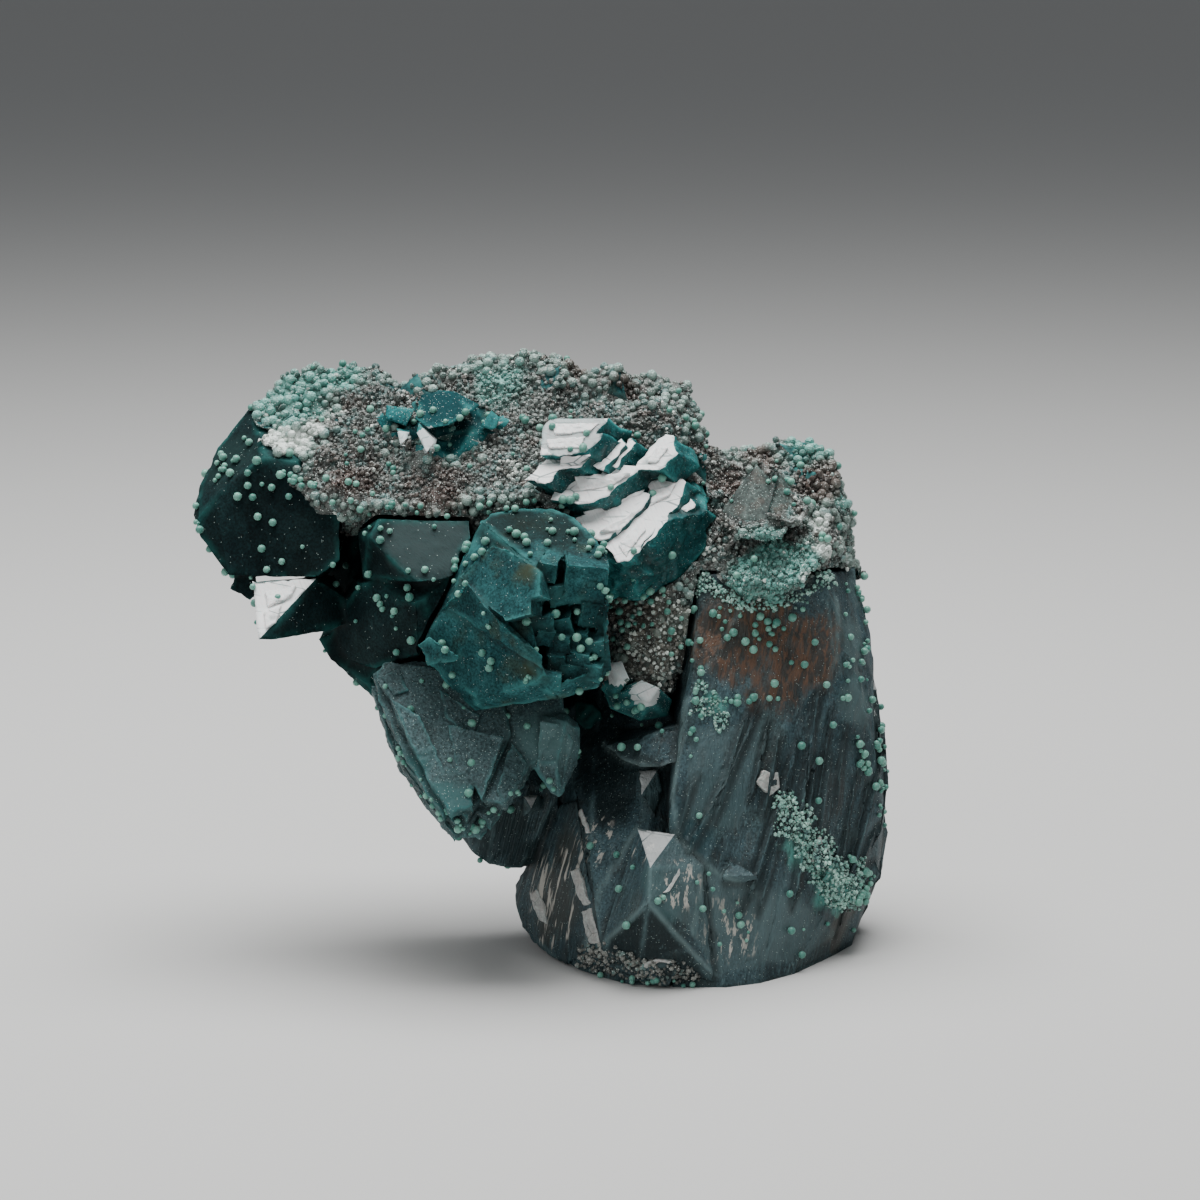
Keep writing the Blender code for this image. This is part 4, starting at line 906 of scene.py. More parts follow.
block_teal = crystal_material(
    "block_teal", deep=(0.006, 0.028, 0.031), light=(0.025, 0.096, 0.100),
    rim=(0.058, 0.220, 0.214), tinge=(0.026, 0.040, 0.028),
    tinge_amount=0.65, rim_width=1.2, rim_strength=0.7, line_turn=(0.5, 0.4, 0.2), line_strength=0.35,
    speck_amount=0.025, roughness=0.62, painted_gleam_amount=0.0, cloud_size=5.0, gloss=0.07,
    patches=[([((510, 525), 7.5, 3.0, 3.0), ((560, 530), 6.0, 3.0, 3.0)], (0.005, 0.011, 0.010)),
             ([((526, 572), 3.2, 2.6, 2.0), ((527, 668), 3.0, 2.6, 2.0)], (0.044, 0.052, 0.028))])

# Low growth steps, a fine unevenness and nibbled edges, in millimetres
pitted = skin_of("pitted_crystal", size=0.8 * mm, seed=5)
points = points_of(pitted)
normals = normals_of(pitted)
ridge = value_of(pitted, "ridge")
steps = np.floor(3 * drift(points, 5 * mm, 41)) / 3
nibbles = np.maximum(drift(points, 1.3 * mm, 42), 0) * fade(ridge, 0.0, 1.1) * 0.6
height = 0.22 * steps + 0.12 * drift(points, 1.2 * mm, 43) - 0.2 - nibbles
put_points(pitted, points + normals * height[:, None] * mm, "pitted_crystal")
pitted.data.materials.append(block_teal)
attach(pitted, "root")
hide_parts("pitted_crystal")

# Fan crystal
# A stack of thin plates that spread downwards to pointed tips. Their faces are grey-teal with a fine grain,
# and their edges show as close steps.

# Its two lighter patches are painted light: the brighter right of the fan, and highlights on its lower left
# plates
fan_teal = crystal_material(
    "fan_teal", deep=(0.028, 0.056, 0.060), light=(0.075, 0.125, 0.130),
    rim=(0.070, 0.230, 0.228), tinge=(0.056, 0.080, 0.080),
    tinge_amount=0.4, rim_width=0.6, rim_strength=0.6, line_turn=(0.0, 0.45, 0.0), line_strength=0.45,
    speck_amount=0.10, roughness=0.42, painted_gleam_amount=0.0, cloud_size=8.0, contrast=0.35,
    patches=[([((545, 738), 6.5, 4.0, 3.0)], (0.100, 0.190, 0.190)),
             ([((445, 800), 6.0, 4.0, 4.0), ((415, 770), 5.0, 4.0, 4.0)], (0.040, 0.130, 0.130))])

# The plates' outlines stray within the plane of their faces, and the faces have a fine grain, in millimetres
fan_face = facing(0.12, 0.50, 0.86)
fan = skin_of("fan_crystal", size=0.7 * mm, seed=6)
points = points_of(fan)
normals = normals_of(fan)
stretched = points * np.array((1.0, 1.0, 0.35))
shifts = 0.35 * wander(stretched, 1.4 * mm, 50) + 0.2 * wander(points, 0.6 * mm, 53)
grain = 0.06 * drift(points, 0.5 * mm, 56)
points = points + within(shifts, fan_face) * mm + normals * grain[:, None] * mm
put_points(fan, points, "fan_crystal")
fan.data.materials.append(fan_teal)
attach(fan, "root")
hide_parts("fan_crystal")

# Crystals at the arm's end
# Deep, almost black-green crystals that have grown out of the end of the arm. They are clear teal along their
# edges, partly a painted edge highlight, with one wedge painted near-white for its gleam, and one pale
# shoulder.

end_teal = crystal_material(
    "end_teal", deep=(0.001, 0.005, 0.006), light=(0.007, 0.021, 0.022),
    rim=(0.018, 0.100, 0.092), tinge=(0.007, 0.015, 0.014),
    tinge_amount=0.3, rim_width=1.3, rim_strength=0.7, line_turn=(0.2, 0.6, 0.0), line_strength=0.35,
    speck_amount=0.015, roughness=0.62, painted_gleam_amount=1.0, cloud_size=7.0, gloss=0.08,
    patches=[([((430, 538), 8.5, 3.0, 2.0)], (0.034, 0.056, 0.056)),
             ([((225, 460), 7.0, 4.0, 4.0)], (0.010, 0.028, 0.027))])

arm_end = skin_of("arm_end_crystals", size=1.0 * mm, seed=7)

# The faces round this place don't gleam, though they lie the same way
matt_face = spot((430, 545))[0]
matt_reach = 13 * mm
shine = arm_end.data.attributes["shine"].data
for face in arm_end.data.polygons:
    if (face.center - matt_face).length < matt_reach:
        shine[face.index].value = 0.0

# Low growth steps, a fine unevenness and nibbled edges, in millimetres
points = points_of(arm_end)
normals = normals_of(arm_end)
ridge = value_of(arm_end, "ridge")
steps = np.floor(3 * drift(points, 6 * mm, 61)) / 3
nibbles = np.maximum(drift(points, 1.0 * mm, 62), 0) * fade(ridge, 0.0, 0.8) * 0.4
height = 0.15 * steps + 0.08 * drift(points, 1.4 * mm, 63) - 0.15 - nibbles
put_points(arm_end, points + normals * height[:, None] * mm, "arm_end_crystals")
arm_end.data.materials.append(end_teal)
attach(arm_end, "root")
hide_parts("arm_end_crystals")

# Druse crust
# A lumpy crust of tiny intergrown crystals over the arm, the seam and the top of the standing crystal. It is
# grey-teal and brown, turquoise in places and white along two rims.

crust_brown = (0.092, 0.062, 0.052)
crust_grey = (0.185, 0.215, 0.200)
crust_teal = (0.110, 0.235, 0.225)
crust_white = (0.86, 0.93, 0.88)
crust_seam = (0.17, 0.17, 0.14)

# Zones of each colour: pixel of the middle, radius, softness and broken edge in millimetres
white_zones = [((268, 438), 4.5, 2.0, 4.0), ((290, 445), 4.0, 2.0, 3.0), ((315, 425), 3.0, 2.0, 4.0),
               ((829, 545), 3.0, 2.0, 3.0), ((820, 522), 2.4, 1.5, 2.0), ((800, 517), 1.8, 1.5, 2.0),
               ((806, 575), 1.6, 1.2, 2.0)]
seam_zones = [((640, 600), 7.0, 3.0, 5.0), ((650, 650), 7.0, 3.0, 5.0), ((680, 620), 4.0, 2.0, 3.0)]
turquoise_crust = [((285, 400), 8.0, 4.0, 5.0), ((300, 385), 6.0, 3.0, 3.0), ((340, 375), 6.0, 4.0, 5.0),
                   ((770, 575), 9.0, 3.0, 3.0), ((810, 450), 5.0, 2.0, 2.0), ((840, 500), 3.5, 2.0, 2.0),
                   ((500, 380), 7.0, 6.0, 6.0), ((450, 440), 6.0, 5.0, 7.0), ((800, 560), 6.0, 3.0, 4.0)]
brown_crust = [((578, 362), 3.0, 1.5, 2.0), ((625, 385), 4.0, 3.0, 3.0), ((730, 480), 4.0, 2.0, 3.0),
               ((828, 478), 4.5, 2.0, 3.0), ((760, 455), 4.5, 2.5, 3.0), ((635, 610), 5.0, 3.0, 4.0),
               ((828, 470), 4.0, 2.0, 2.0), ((350, 475), 6.0, 4.0, 7.0), ((440, 490), 6.0, 4.0, 7.0),
               ((820, 480), 5.0, 2.0, 2.0)]


def crust_material(name, first, second, size, speck_amount, roughness, zoned=True):
    """Druse: two colours in small patches, and zones of turquoise, brown and white."""
    material = bpy.data.materials.new(name)
    material.use_nodes = True
    tree = material.node_tree
    shader = tree.nodes["Principled BSDF"]
    cloud = place_group(tree, clouds, {"Deep": (*first, 1), "Light": (*second, 1), "Tinge": (*crust_teal, 1),
                                       "Tinge Amount": 0.7, "Size": size})
    colour = cloud["Color"]
    if zoned:
        colour = mix(tree, sums(tree, "MULTIPLY", zone_mask(tree, turquoise_crust), 0.6), colour, turquoise)
        colour = mix(tree, sums(tree, "MULTIPLY", zone_mask(tree, brown_crust), 0.85), colour, crust_brown)
        colour = mix(tree, sums(tree, "MULTIPLY", zone_mask(tree, seam_zones), 0.60), colour, crust_seam)
    tone = sums(tree, "ADD", 0.30, sums(tree, "MULTIPLY", attribute(tree, "tone"), 1.0))
    shade = add(tree, "ShaderNodeCombineColor", {"Red": tone, "Green": tone, "Blue": tone}).outputs[0]
    colour = mix(tree, 1.0, colour, shade, "MULTIPLY")
    if zoned:
        colour = mix(tree, sums(tree, "MULTIPLY", zone_mask(tree, white_zones), 0.85), colour, crust_white)
    specks = place_group(tree, dust, {"Amount": speck_amount, "Size": 0.3})["Mask"]
    colour = mix(tree, specks, colour, crust_white)
    tree.links.new(colour, shader.inputs["Base Color"])
    coordinates = add(tree, "ShaderNodeTexCoord").outputs["Object"]
    cells = add(tree, "ShaderNodeTexVoronoi", {"Vector": coordinates, "Scale": 3300.0}).outputs["Distance"]
    bump = add(tree, "ShaderNodeBump", {"Height": sums(tree, "ADD", cells, specks), "Strength": 0.8,
                                        "Distance": 0.2 * mm})
    tree.links.new(bump.outputs["Normal"], shader.inputs["Normal"])
    shader.inputs["Roughness"].default_value = roughness
    return material


def near_patches(points, patches, inner, outer, ragged=0.0):
    """1 in patches, each a pixel and a radius in millimetres, and 0 beyond the outer share of that radius."""
    share = np.zeros(len(points))
    for pixel, radius in patches:
        share = np.maximum(share, fade(from_spot(points, pixel) + ragged, radius * inner, radius * outer))
    return share


def shine_on(piece, values):
    """Sets how much the faces of the piece gleam, by one number for all or one for each."""
    shines = np.full(len(piece.data.polygons), values, dtype=np.float32)
    piece.data.attributes["shine"].data.foreach_set("value", shines)


crust_ground = crust_material("crust_ground", (0.060, 0.052, 0.046), crust_grey, size=2.4, speck_amount=0.45,
                              roughness=0.6)

# Where crystals stand bare out of the druse, and where they get a painted gleam, with the reach of each in
# millimetres.
# Only facets larger than these, in square millimetres, are bare, in front and at the back, and the back
# begins this far behind the middle of the foot
bare_zones = [((445, 408), 8.0), ((400, 412), 4.0), ((409, 390), 3.5), ((490, 415), 3.0), ((403, 437), 2.0),
              ((426, 440), 2.6), ((754, 490), 6.2), ((618, 671), 2.2), ((645, 691), 2.4), ((622, 706), 4.5),
              ((648, 712), 4.0), ((668, 705), 3.0)]
bright_zones = [((403, 437), 2.2), ((426, 440), 2.8), ((618, 671), 2.4), ((645, 691), 2.6)]
bare_facet = 2.6
back_facet = 8.0
back_start = 8 * mm

# The grains thin out toward the back, to this share
back_grains = 0.45

# The turquoise saucer has few beads. It and the small grey crystal on top reach this many millimetres
saucer = (768, 578)
saucer_radius = 6.0
saucer_edge = 9.0
top_crystal = (756, 495)
top_reach = 8.5

# Rounded beads stand along these edges and in these patches
bead_edges = [
    [(243, 412), (255, 385), (290, 365), (345, 364), (380, 372), (408, 372), (440, 362), (495, 350),
     (550, 350), (583, 368), (640, 366), (690, 380), (700, 420)],
    [(262, 447), (290, 462), (281, 478), (303, 503), (335, 513), (430, 516), (463, 506), (520, 502),
     (560, 503)],
    [(738, 450), (775, 448), (800, 440), (835, 452), (845, 490), (860, 540), (868, 600)],
    [(610, 560), (660, 566), (690, 585)]]
bead_patches = [((240, 606), 2.0), ((272, 438), 5.0), ((300, 440), 4.0), ((810, 452), 5.5),
                ((665, 385), 7.0), ((290, 395), 8.0), ((828, 505), 3.5), ((600, 385), 4.0)]

crust = skin_of("druse_crust", size=1.15 * mm, seed=8)
facet_areas = np.empty(len(crust.data.polygons), dtype=np.float32)
crust.data.attributes["area"].data.foreach_get("value", facet_areas)
face_middles = np.array([face.center for face in crust.data.polygons])
in_zone = np.zeros(len(face_middles), dtype=bool)
for pixel, reach in bare_zones:
    in_zone |= from_spot(face_middles, pixel) < reach
bright = np.zeros(len(face_middles), dtype=bool)
for pixel, reach in bright_zones:
    bright |= from_spot(face_middles, pixel) < reach
behind = face_middles[:, 1] > back_start
bare_faces = in_zone & (facet_areas > bare_facet)
bare_faces |= behind & (facet_areas > back_facet)
shine_on(crust, bright)
face_corners = np.empty(len(crust.data.polygons) * 3, dtype=np.int32)
crust.data.polygons.foreach_get("vertices", face_corners)
bare_points = np.zeros(len(crust.data.vertices))
bare_points[face_corners.reshape(-1, 3)[bare_faces].ravel()] = 1.0
points = points_of(crust)
normals = normals_of(crust)
openness = np.array([
    0.0 if solids.ray_cast(Vector(point) + Vector(normal) * 0.1 * mm, Vector(normal), 1.0 * mm)[0] else 1.0
    for point, normal in zip(points, normals)])
bead_share = fade(from_lines(points, bead_edges), 9, 22)
bead_share = np.maximum(bead_share, near_patches(points, bead_patches, inner=0.7, outer=1.2))
strewn = fade(drift(points, 5 * mm, 77), 0.55, 0.2) * 0.6
bead_share = np.maximum(bead_share, strewn)
bead_share *= 1 - 0.8 * fade(from_spot(points, saucer), saucer_radius, saucer_edge)
half_grown = fade(drift(points, 3 * mm, 79), 0.15, 0.45) * (points[:, 1] > back_start)
grown_over = openness * np.maximum(1 - bare_points, half_grown)
store(crust, "beads", grown_over * bead_share)
thinned = fade(points[:, 1], 14 * mm, 26 * mm).clip(back_grains)
store(crust, "grains", grown_over * (1 - 0.75 * bead_share) * thinned)

# The lumps of the crust in millimetres; it lies lower than the solid, because the grains stand on it
height = 0.35 * drift(points, 2.0 * mm, 71) + 0.3 * drift(points, 0.9 * mm, 72) - 0.75
height = np.where((bare_points > 0) | (openness < 0.5), -0.05, height)
put_points(crust, points + normals * height[:, None] * mm, "druse_crust")

# The crystals that stand bare: clear in front, grey on top and cloudy at the back
lens_teal = crystal_material(
    "lens_teal", deep=(0.006, 0.060, 0.068), light=(0.022, 0.145, 0.145),
    rim=(0.060, 0.270, 0.260), tinge=(0.014, 0.070, 0.070),
    tinge_amount=0.4, rim_width=1.0, rim_strength=0.6, line_turn=(0.3, 0.9, 0.0), line_strength=0.15,
    speck_amount=0.12, roughness=0.60, painted_gleam_amount=0.6, cloud_size=5.0, gloss=0.06,
    patches=[([((445, 408), 9.0, 4.0, 3.0)], (0.002, 0.028, 0.034)),
             ([((635, 705), 8.0, 3.0, 3.0)], (0.020, 0.050, 0.052))])
grey_crystal = crystal_material(
    "grey_crystal", deep=(0.018, 0.028, 0.026), light=(0.070, 0.092, 0.084),
    rim=(0.150, 0.190, 0.175), tinge=(0.060, 0.050, 0.042),
    tinge_amount=0.6, rim_width=0.7, rim_strength=0.5, line_turn=(0.15, 0.45, 0.0), line_strength=0.55,
    speck_amount=0.12, roughness=0.50, painted_gleam_amount=0.0, cloud_size=2.5, contrast=0.7, gloss=0.12)

finishes = [crust_ground, lens_teal, block_teal, grey_crystal]
for finish in finishes:
    crust.data.materials.append(finish)
on_top = from_spot(face_middles, top_crystal) < top_reach
bare_finish = np.where(on_top, finishes.index(grey_crystal), finishes.index(lens_teal))
bare_finish = np.where(behind, finishes.index(block_teal), bare_finish)
crust.data.polygons.foreach_set("material_index", np.where(bare_faces, bare_finish, 0).astype(np.int32))
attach(crust, "root")
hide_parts("druse_crust")

# Druse grains
# Thousands of small rounded crystal knots stand side by side on the crust, with finer sharp grains that
# sparkle between them; the white ones have their sparkle painted as near-white.


def scatter_tree():
    """Grains spread over a surface at a least distance, where its cover allows, each turned and sized."""
    tree = bpy.data.node_groups.new("scatter_grains", "GeometryNodeTree")
    sockets = [("Surface", "Geometry", None), ("Spacing", "Float", 1.0), ("Amount", "Float", 1.0),
               ("Smallest", "Float", 0.5), ("Largest", "Float", 1.0), ("Lift", "Float", 0.0),
               ("Seed", "Int", 1), ("Cover", "String", ""), ("Grains", "Collection", None),
               ("Finish", "Material", None)]
    for name, kind, value in sockets:
        made = tree.interface.new_socket(name, in_out="INPUT", socket_type="NodeSocket" + kind)
        if value is not None:
            made.default_value = value
    tree.interface.new_socket("Grains", in_out="OUTPUT", socket_type="NodeSocketGeometry")
    given = tree.nodes.new("NodeGroupInput").outputs
    result = tree.nodes.new("NodeGroupOutput").inputs
    cover = add(tree, "GeometryNodeInputNamedAttribute", {"Name": given["Cover"]}, data_type="FLOAT")
    square = add(tree, "ShaderNodeMath", {0: given["Spacing"], 1: given["Spacing"]}, operation="MULTIPLY")
    most = add(tree, "ShaderNodeMath", {0: given["Amount"], 1: square.outputs[0]}, operation="DIVIDE")
    spread = add(tree, "GeometryNodeDistributePointsOnFaces",
                 {"Mesh": given["Surface"], "Distance Min": given["Spacing"], "Density Max": most.outputs[0],
                  "Density Factor": cover.outputs["Attribute"], "Seed": given["Seed"]},
                 distribute_method="POISSON")
    size = add(tree, "FunctionNodeRandomValue", {"Seed": given["Seed"]}, data_type="FLOAT")
    tree.links.new(given["Smallest"], size.inputs[2])
    tree.links.new(given["Largest"], size.inputs[3])
    high = add(tree, "ShaderNodeMath", {0: size.outputs[1], 1: given["Lift"]}, operation="MULTIPLY")
    rise = add(tree, "ShaderNodeVectorMath", {0: spread.outputs["Normal"], "Scale": high.outputs[0]},
               operation="SCALE")
    moved = add(tree, "GeometryNodeSetPosition", {"Geometry": spread.outputs["Points"],
                                                  "Offset": rise.outputs[0]})
    turn = add(tree, "FunctionNodeRandomValue", {"Seed": given["Seed"]}, data_type="FLOAT_VECTOR")
    turn.inputs[1].default_value = (math.tau, math.tau, math.tau)
    kinds = add(tree, "GeometryNodeCollectionInfo", {"Collection": given["Grains"], "Separate Children": True,
                                                     "Reset Children": True})
    grains = add(tree, "GeometryNodeInstanceOnPoints",
                 {"Points": moved.outputs["Geometry"], "Instance": kinds.outputs[0], "Pick Instance": True,
                  "Rotation": turn.outputs[0], "Scale": size.outputs[1]})
    tone = add(tree, "FunctionNodeRandomValue", {"Seed": given["Seed"]}, data_type="FLOAT")
    kept = add(tree, "GeometryNodeStoreNamedAttribute", {"Geometry": grains.outputs[0], "Name": "tone"},
               data_type="FLOAT", domain="INSTANCE")
    tree.links.new(tone.outputs[1], kept.inputs["Value"])
    real = add(tree, "GeometryNodeRealizeInstances", {"Geometry": kept.outputs[0]})
    painted = add(tree, "GeometryNodeSetMaterial", {"Geometry": real.outputs[0], "Material": given["Finish"]})
    tree.links.new(painted.outputs[0], result["Grains"])
    return tree


scatter = scatter_tree()


def grown(name, carrier_mesh, tree, values):
    """A plain mesh of what the node tree grows on a carrier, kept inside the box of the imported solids."""
    carrier = bpy.data.objects.new(name + "_carrier", carrier_mesh)
    bpy.context.scene.collection.objects.link(carrier)
    step = carrier.modifiers.new("Grow", "NODES")
    step.node_group = tree
    for socket in tree.interface.items_tree:
        if socket.in_out == "INPUT" and socket.name in values:
            step[socket.identifier] = values[socket.name]
    graph = bpy.context.evaluated_depsgraph_get()
    mesh = bpy.data.meshes.new_from_object(carrier.evaluated_get(graph))
    mesh.name = name
    bpy.data.objects.remove(carrier)
    piece = bpy.data.objects.new(name, mesh)
    bpy.context.scene.collection.objects.link(piece)
    low, high = np.array(cad_low), np.array(cad_high)
    piece.data.vertices.foreach_set("co", np.clip(points_of(piece), low, high).ravel())
    piece.data.update()
    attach(piece, "root")
    return piece


def scattered(name, surface, cover, kinds, finish, spacing, smallest, largest, lift, seed, amount):
    """Grains over the covered part of a surface; sizes in millimetres."""
    return grown(name, surface.data, scatter,
                 {"Spacing": spacing * mm, "Amount": amount, "Smallest": smallest * mm,
                  "Largest": largest * mm, "Lift": lift, "Seed": seed, "Cover": cover, "Grains": kinds,
                  "Finish": finish})


def ball_shape(name, roughness, rounded, seed):
    """A grain of diameter 1: rounded, with 60 faces, or chipped, with 20."""
    body = bmesh.new()
    bmesh.ops.create_icosphere(body, subdivisions=1, radius=0.5)
    if rounded:
        bmesh.ops.poke(body, faces=body.faces)
    dice = random.Random(seed)
    for vertex in body.verts:
        vertex.co = vertex.co.normalized() * 0.5 * (1 + roughness * dice.uniform(-1, 1))
    mesh = bpy.data.meshes.new(name)
    body.to_mesh(mesh)
    body.free()
    return mesh


def ball_kinds(name, roughness, rounded, count=4):
    """A few like grain shapes to choose from."""
    kinds = bpy.data.collections.new(name)
    for number in range(count):
        mesh = ball_shape(f"{name}_{number}", roughness, rounded, seed=number)
        if rounded:
            mesh.shade_smooth()
        kinds.objects.link(bpy.data.objects.new(f"{name}_{number}", mesh))
    return kinds


knots = ball_kinds("knot", roughness=0.09, rounded=True)
sharps = ball_kinds("sharp", roughness=0.28, rounded=False)

# White sharp grains, their near-white a painted glint on a glossy finish, are thickest at the seam
spark_patches = [((640, 600), 6.0), ((655, 640), 6.0), ((680, 620), 4.0), ((665, 670), 4.0),
                 ((720, 545), 4.0), ((690, 450), 4.0), ((685, 480), 2.5), ((270, 440), 4.5),
                 ((515, 470), 3.0), ((330, 415), 3.0)]

bead_mint = crust_material("bead_mint", (0.095, 0.120, 0.108), (0.330, 0.460, 0.410), size=2.2,
                           speck_amount=0.30, roughness=0.38)
grain_mixed = crust_material("grain_mixed", crust_brown, (0.205, 0.245, 0.230), size=2.6,
                             speck_amount=0.30, roughness=0.35)

scattered("crust_beads", crust, "beads", knots, bead_mint, spacing=0.98, smallest=0.80, largest=1.80,
          lift=0.16, seed=5, amount=1.8)
scattered("crust_grains", crust, "grains", sharps, grain_mixed, spacing=0.58, smallest=0.45, largest=1.05,
          lift=0.22, seed=9, amount=3.0)
spark_share = near_patches(points_of(crust), spark_patches, inner=0.6, outer=1.0)
store(crust, "sparks", grown_over * (0.05 + 0.75 * spark_share))
# Painted glint: these grains are painted near-white, and glossy
painted_glint_white = crust_material("painted_glint_white", (0.40, 0.46, 0.40), (0.92, 0.96, 0.90), size=1.5,
                             speck_amount=0.3, roughness=0.15, zoned=False)
scattered("crust_sparks", crust, "sparks", sharps, painted_glint_white, spacing=0.62, smallest=0.36, largest=0.85,
          lift=0.50, seed=29, amount=2.0)

# Druse on the standing crystal
# Patches of angular mint and white grains low on its right and in the seam under the crust, and a rough
# grey ledge of grains round the front of its foot. The grains have grown on the crystal's own faces.

mint_patches = [((795, 825), 2.2), ((810, 852), 4.2), ((836, 882), 4.6), ((848, 895), 3.6),
                ((699, 585), 1.6), ((706, 704), 2.4), ((702, 684), 1.3), ((720, 724), 1.5), ((862, 868), 2.0)]
mint_line = [(790, 812), (800, 832), (820, 858), (846, 894)]
seam_line = [(700, 576), (716, 590), (742, 604), (775, 607), (806, 594), (828, 577), (862, 574)]
foot_lines = [[(590, 962), (612, 976), (650, 984), (690, 984)], [(600, 958), (640, 974), (668, 978)]]

# The seen side ends this far behind the foot's middle, and no grain sits lower than this, so that the foot
# stays flat
seen_end = 4 * mm
lowest_grain = 0.6 * mm

points = points_of(standing)
seen_side = points[:, 1] < seen_end
ragged = 1.6 * drift(points, 1.5 * mm, 81)
mint_share = near_patches(points, mint_patches, inner=0.5, outer=1.0, ragged=ragged)
from_seam = from_line(points, seam_line) + 5 * drift(points, 2 * mm, 83)
mint_share = np.maximum(mint_share, fade(from_seam, 4, 11) * seen_side)
from_mint = from_line(points, mint_line) + 8 * drift(points, 2.5 * mm, 84)
mint_share = np.maximum(mint_share, fade(from_mint, 8, 22) * seen_side)
from_foot = from_lines(points, foot_lines) + 6 * drift(points, 2 * mm, 82)
foot_share = fade(from_foot, 10, 18) * (normals_of(standing)[:, 1] < 0.2)
store(standing, "mint", mint_share)
store(standing, "foot", foot_share * (points[:, 2] > lowest_grain))

mint_grain = crust_material("mint_grain", (0.060, 0.250, 0.205), (0.480, 0.740, 0.640), size=1.6,
                            speck_amount=0.45, roughness=0.22, zoned=False)
foot_grain = crust_material("foot_grain", (0.080, 0.085, 0.075), (0.340, 0.350, 0.320), size=2.0,
                            speck_amount=0.40, roughness=0.40)
scattered("mint_druse", standing, "mint", sharps, mint_grain, spacing=0.38, smallest=0.28, largest=0.80,
          lift=0.24, seed=12, amount=3.0)
scattered("foot_druse", standing, "foot", sharps, foot_grain, spacing=0.48, smallest=0.32, largest=0.95,
          lift=0.20, seed=13, amount=3.0)

# Green balls
# Small balls of a pale-green mineral with a matt, velvety skin. They have grown onto all the crystals,
# singly, in rows and in clusters, about a third of each sunk in.

# The larger balls one by one, by their pixels in the photograph
ball_pixels = [
    (192, 497), (190, 510), (193, 522), (200, 530), (248, 486), (272, 488), (238, 497), (289, 497),
    (231, 474), (237, 460), (258, 517), (273, 523), (262, 549), (282, 562), (267, 570), (228, 585),
    (361, 450), (356, 485), (380, 541), (369, 574), (378, 598), (395, 611), (412, 640), (397, 652),
    (455, 562), (475, 558), (486, 542), (459, 594), (446, 650), (483, 653), (490, 668), (453, 675),
    (446, 686), (527, 622), (562, 637), (577, 637), (574, 533), (598, 556), (600, 586), (637, 436),
    (662, 477), (562, 505), (525, 421), (671, 555), (667, 585), (619, 612), (667, 612), (700, 641),
    (701, 673), (618, 706), (642, 706), (659, 727), (638, 748), (622, 748), (699, 816), (713, 614),
    (727, 638), (733, 633), (760, 617), (767, 622), (755, 634), (745, 642), (753, 650), (792, 618),
    (804, 665), (774, 684), (753, 698), (737, 703), (826, 685), (847, 698), (832, 725), (801, 746),
    (864, 754), (881, 761), (867, 772), (876, 787), (819, 801), (527, 727), (507, 717), (567, 712),
    (578, 757), (400, 758), (382, 727), (550, 781), (510, 809), (507, 869), (627, 925), (702, 909),
    (789, 894), (801, 955)]

# Rows and swarms of balls: a line over the photograph, how many balls, and how far they stray, in pixels
ball_rows = [
    ([(190, 492), (194, 520), (205, 535)], 7, 3), ([(215, 452), (232, 470), (262, 492)], 10, 12),
    ([(225, 580), (240, 606), (256, 612)], 10, 5), ([(370, 690), (376, 725)], 6, 4),
    ([(395, 745), (420, 790), (455, 832)], 12, 5), ([(440, 815), (470, 832), (500, 808)], 19, 6),
    ([(500, 806), (530, 780), (560, 790)], 6, 5), ([(590, 640), (600, 685), (560, 702)], 9, 5),
    ([(858, 560), (866, 620), (862, 690)], 16, 5), ([(868, 700), (882, 760), (880, 830)], 19, 7),
    ([(840, 570), (850, 640), (845, 700)], 10, 6), ([(860, 740), (868, 790)], 13, 9),
    ([(715, 610), (760, 640), (800, 630)], 22, 18), ([(690, 690), (735, 705), (780, 690)], 12, 12),
    ([(480, 655), (500, 660), (540, 690)], 6, 6), ([(600, 600), (640, 590), (680, 600)], 16, 14),
    ([(610, 700), (660, 730)], 7, 10), ([(520, 520), (560, 528), (600, 560)], 7, 9),
    ([(455, 560), (470, 600), (500, 640)], 6, 9), ([(850, 850), (870, 880), (862, 904)], 22, 6),
    ([(600, 975), (650, 982), (700, 984)], 10, 5), ([(300, 520), (360, 600), (420, 640)], 12, 22),
    ([(280, 470), (340, 505), (450, 512), (540, 502)], 30, 6),
    ([(690, 600), (700, 680), (690, 760)], 10, 8), ([(615, 640), (650, 615), (682, 655)], 19, 18),
    ([(560, 800), (640, 900), (760, 940)], 10, 30), ([(700, 880), (780, 930), (850, 930)], 10, 16)]


def ball_places():
    """Where the green balls sit, which way is out of the crystal there, and the radius in millimetres."""
    dice = random.Random(21)
    smallest, largest = 0.26, 0.62
    chosen = [(pixel, largest) for pixel in ball_pixels]
    for line, count, stray in ball_rows:
        for _ in range(count):
            share = dice.random() * (len(line) - 1)
            first, last = line[int(share)], line[int(share) + 1]
            part = share - int(share)
            u = first[0] + (last[0] - first[0]) * part + dice.gauss(0, stray * 0.5)
            v = first[1] + (last[1] - first[1]) * part + dice.gauss(0, stray * 0.5)
            chosen.append(((u, v), dice.uniform(smallest, largest)))
    return [(*spot(pixel), radius * dice.uniform(0.85, 1.15)) for pixel, radius in chosen]


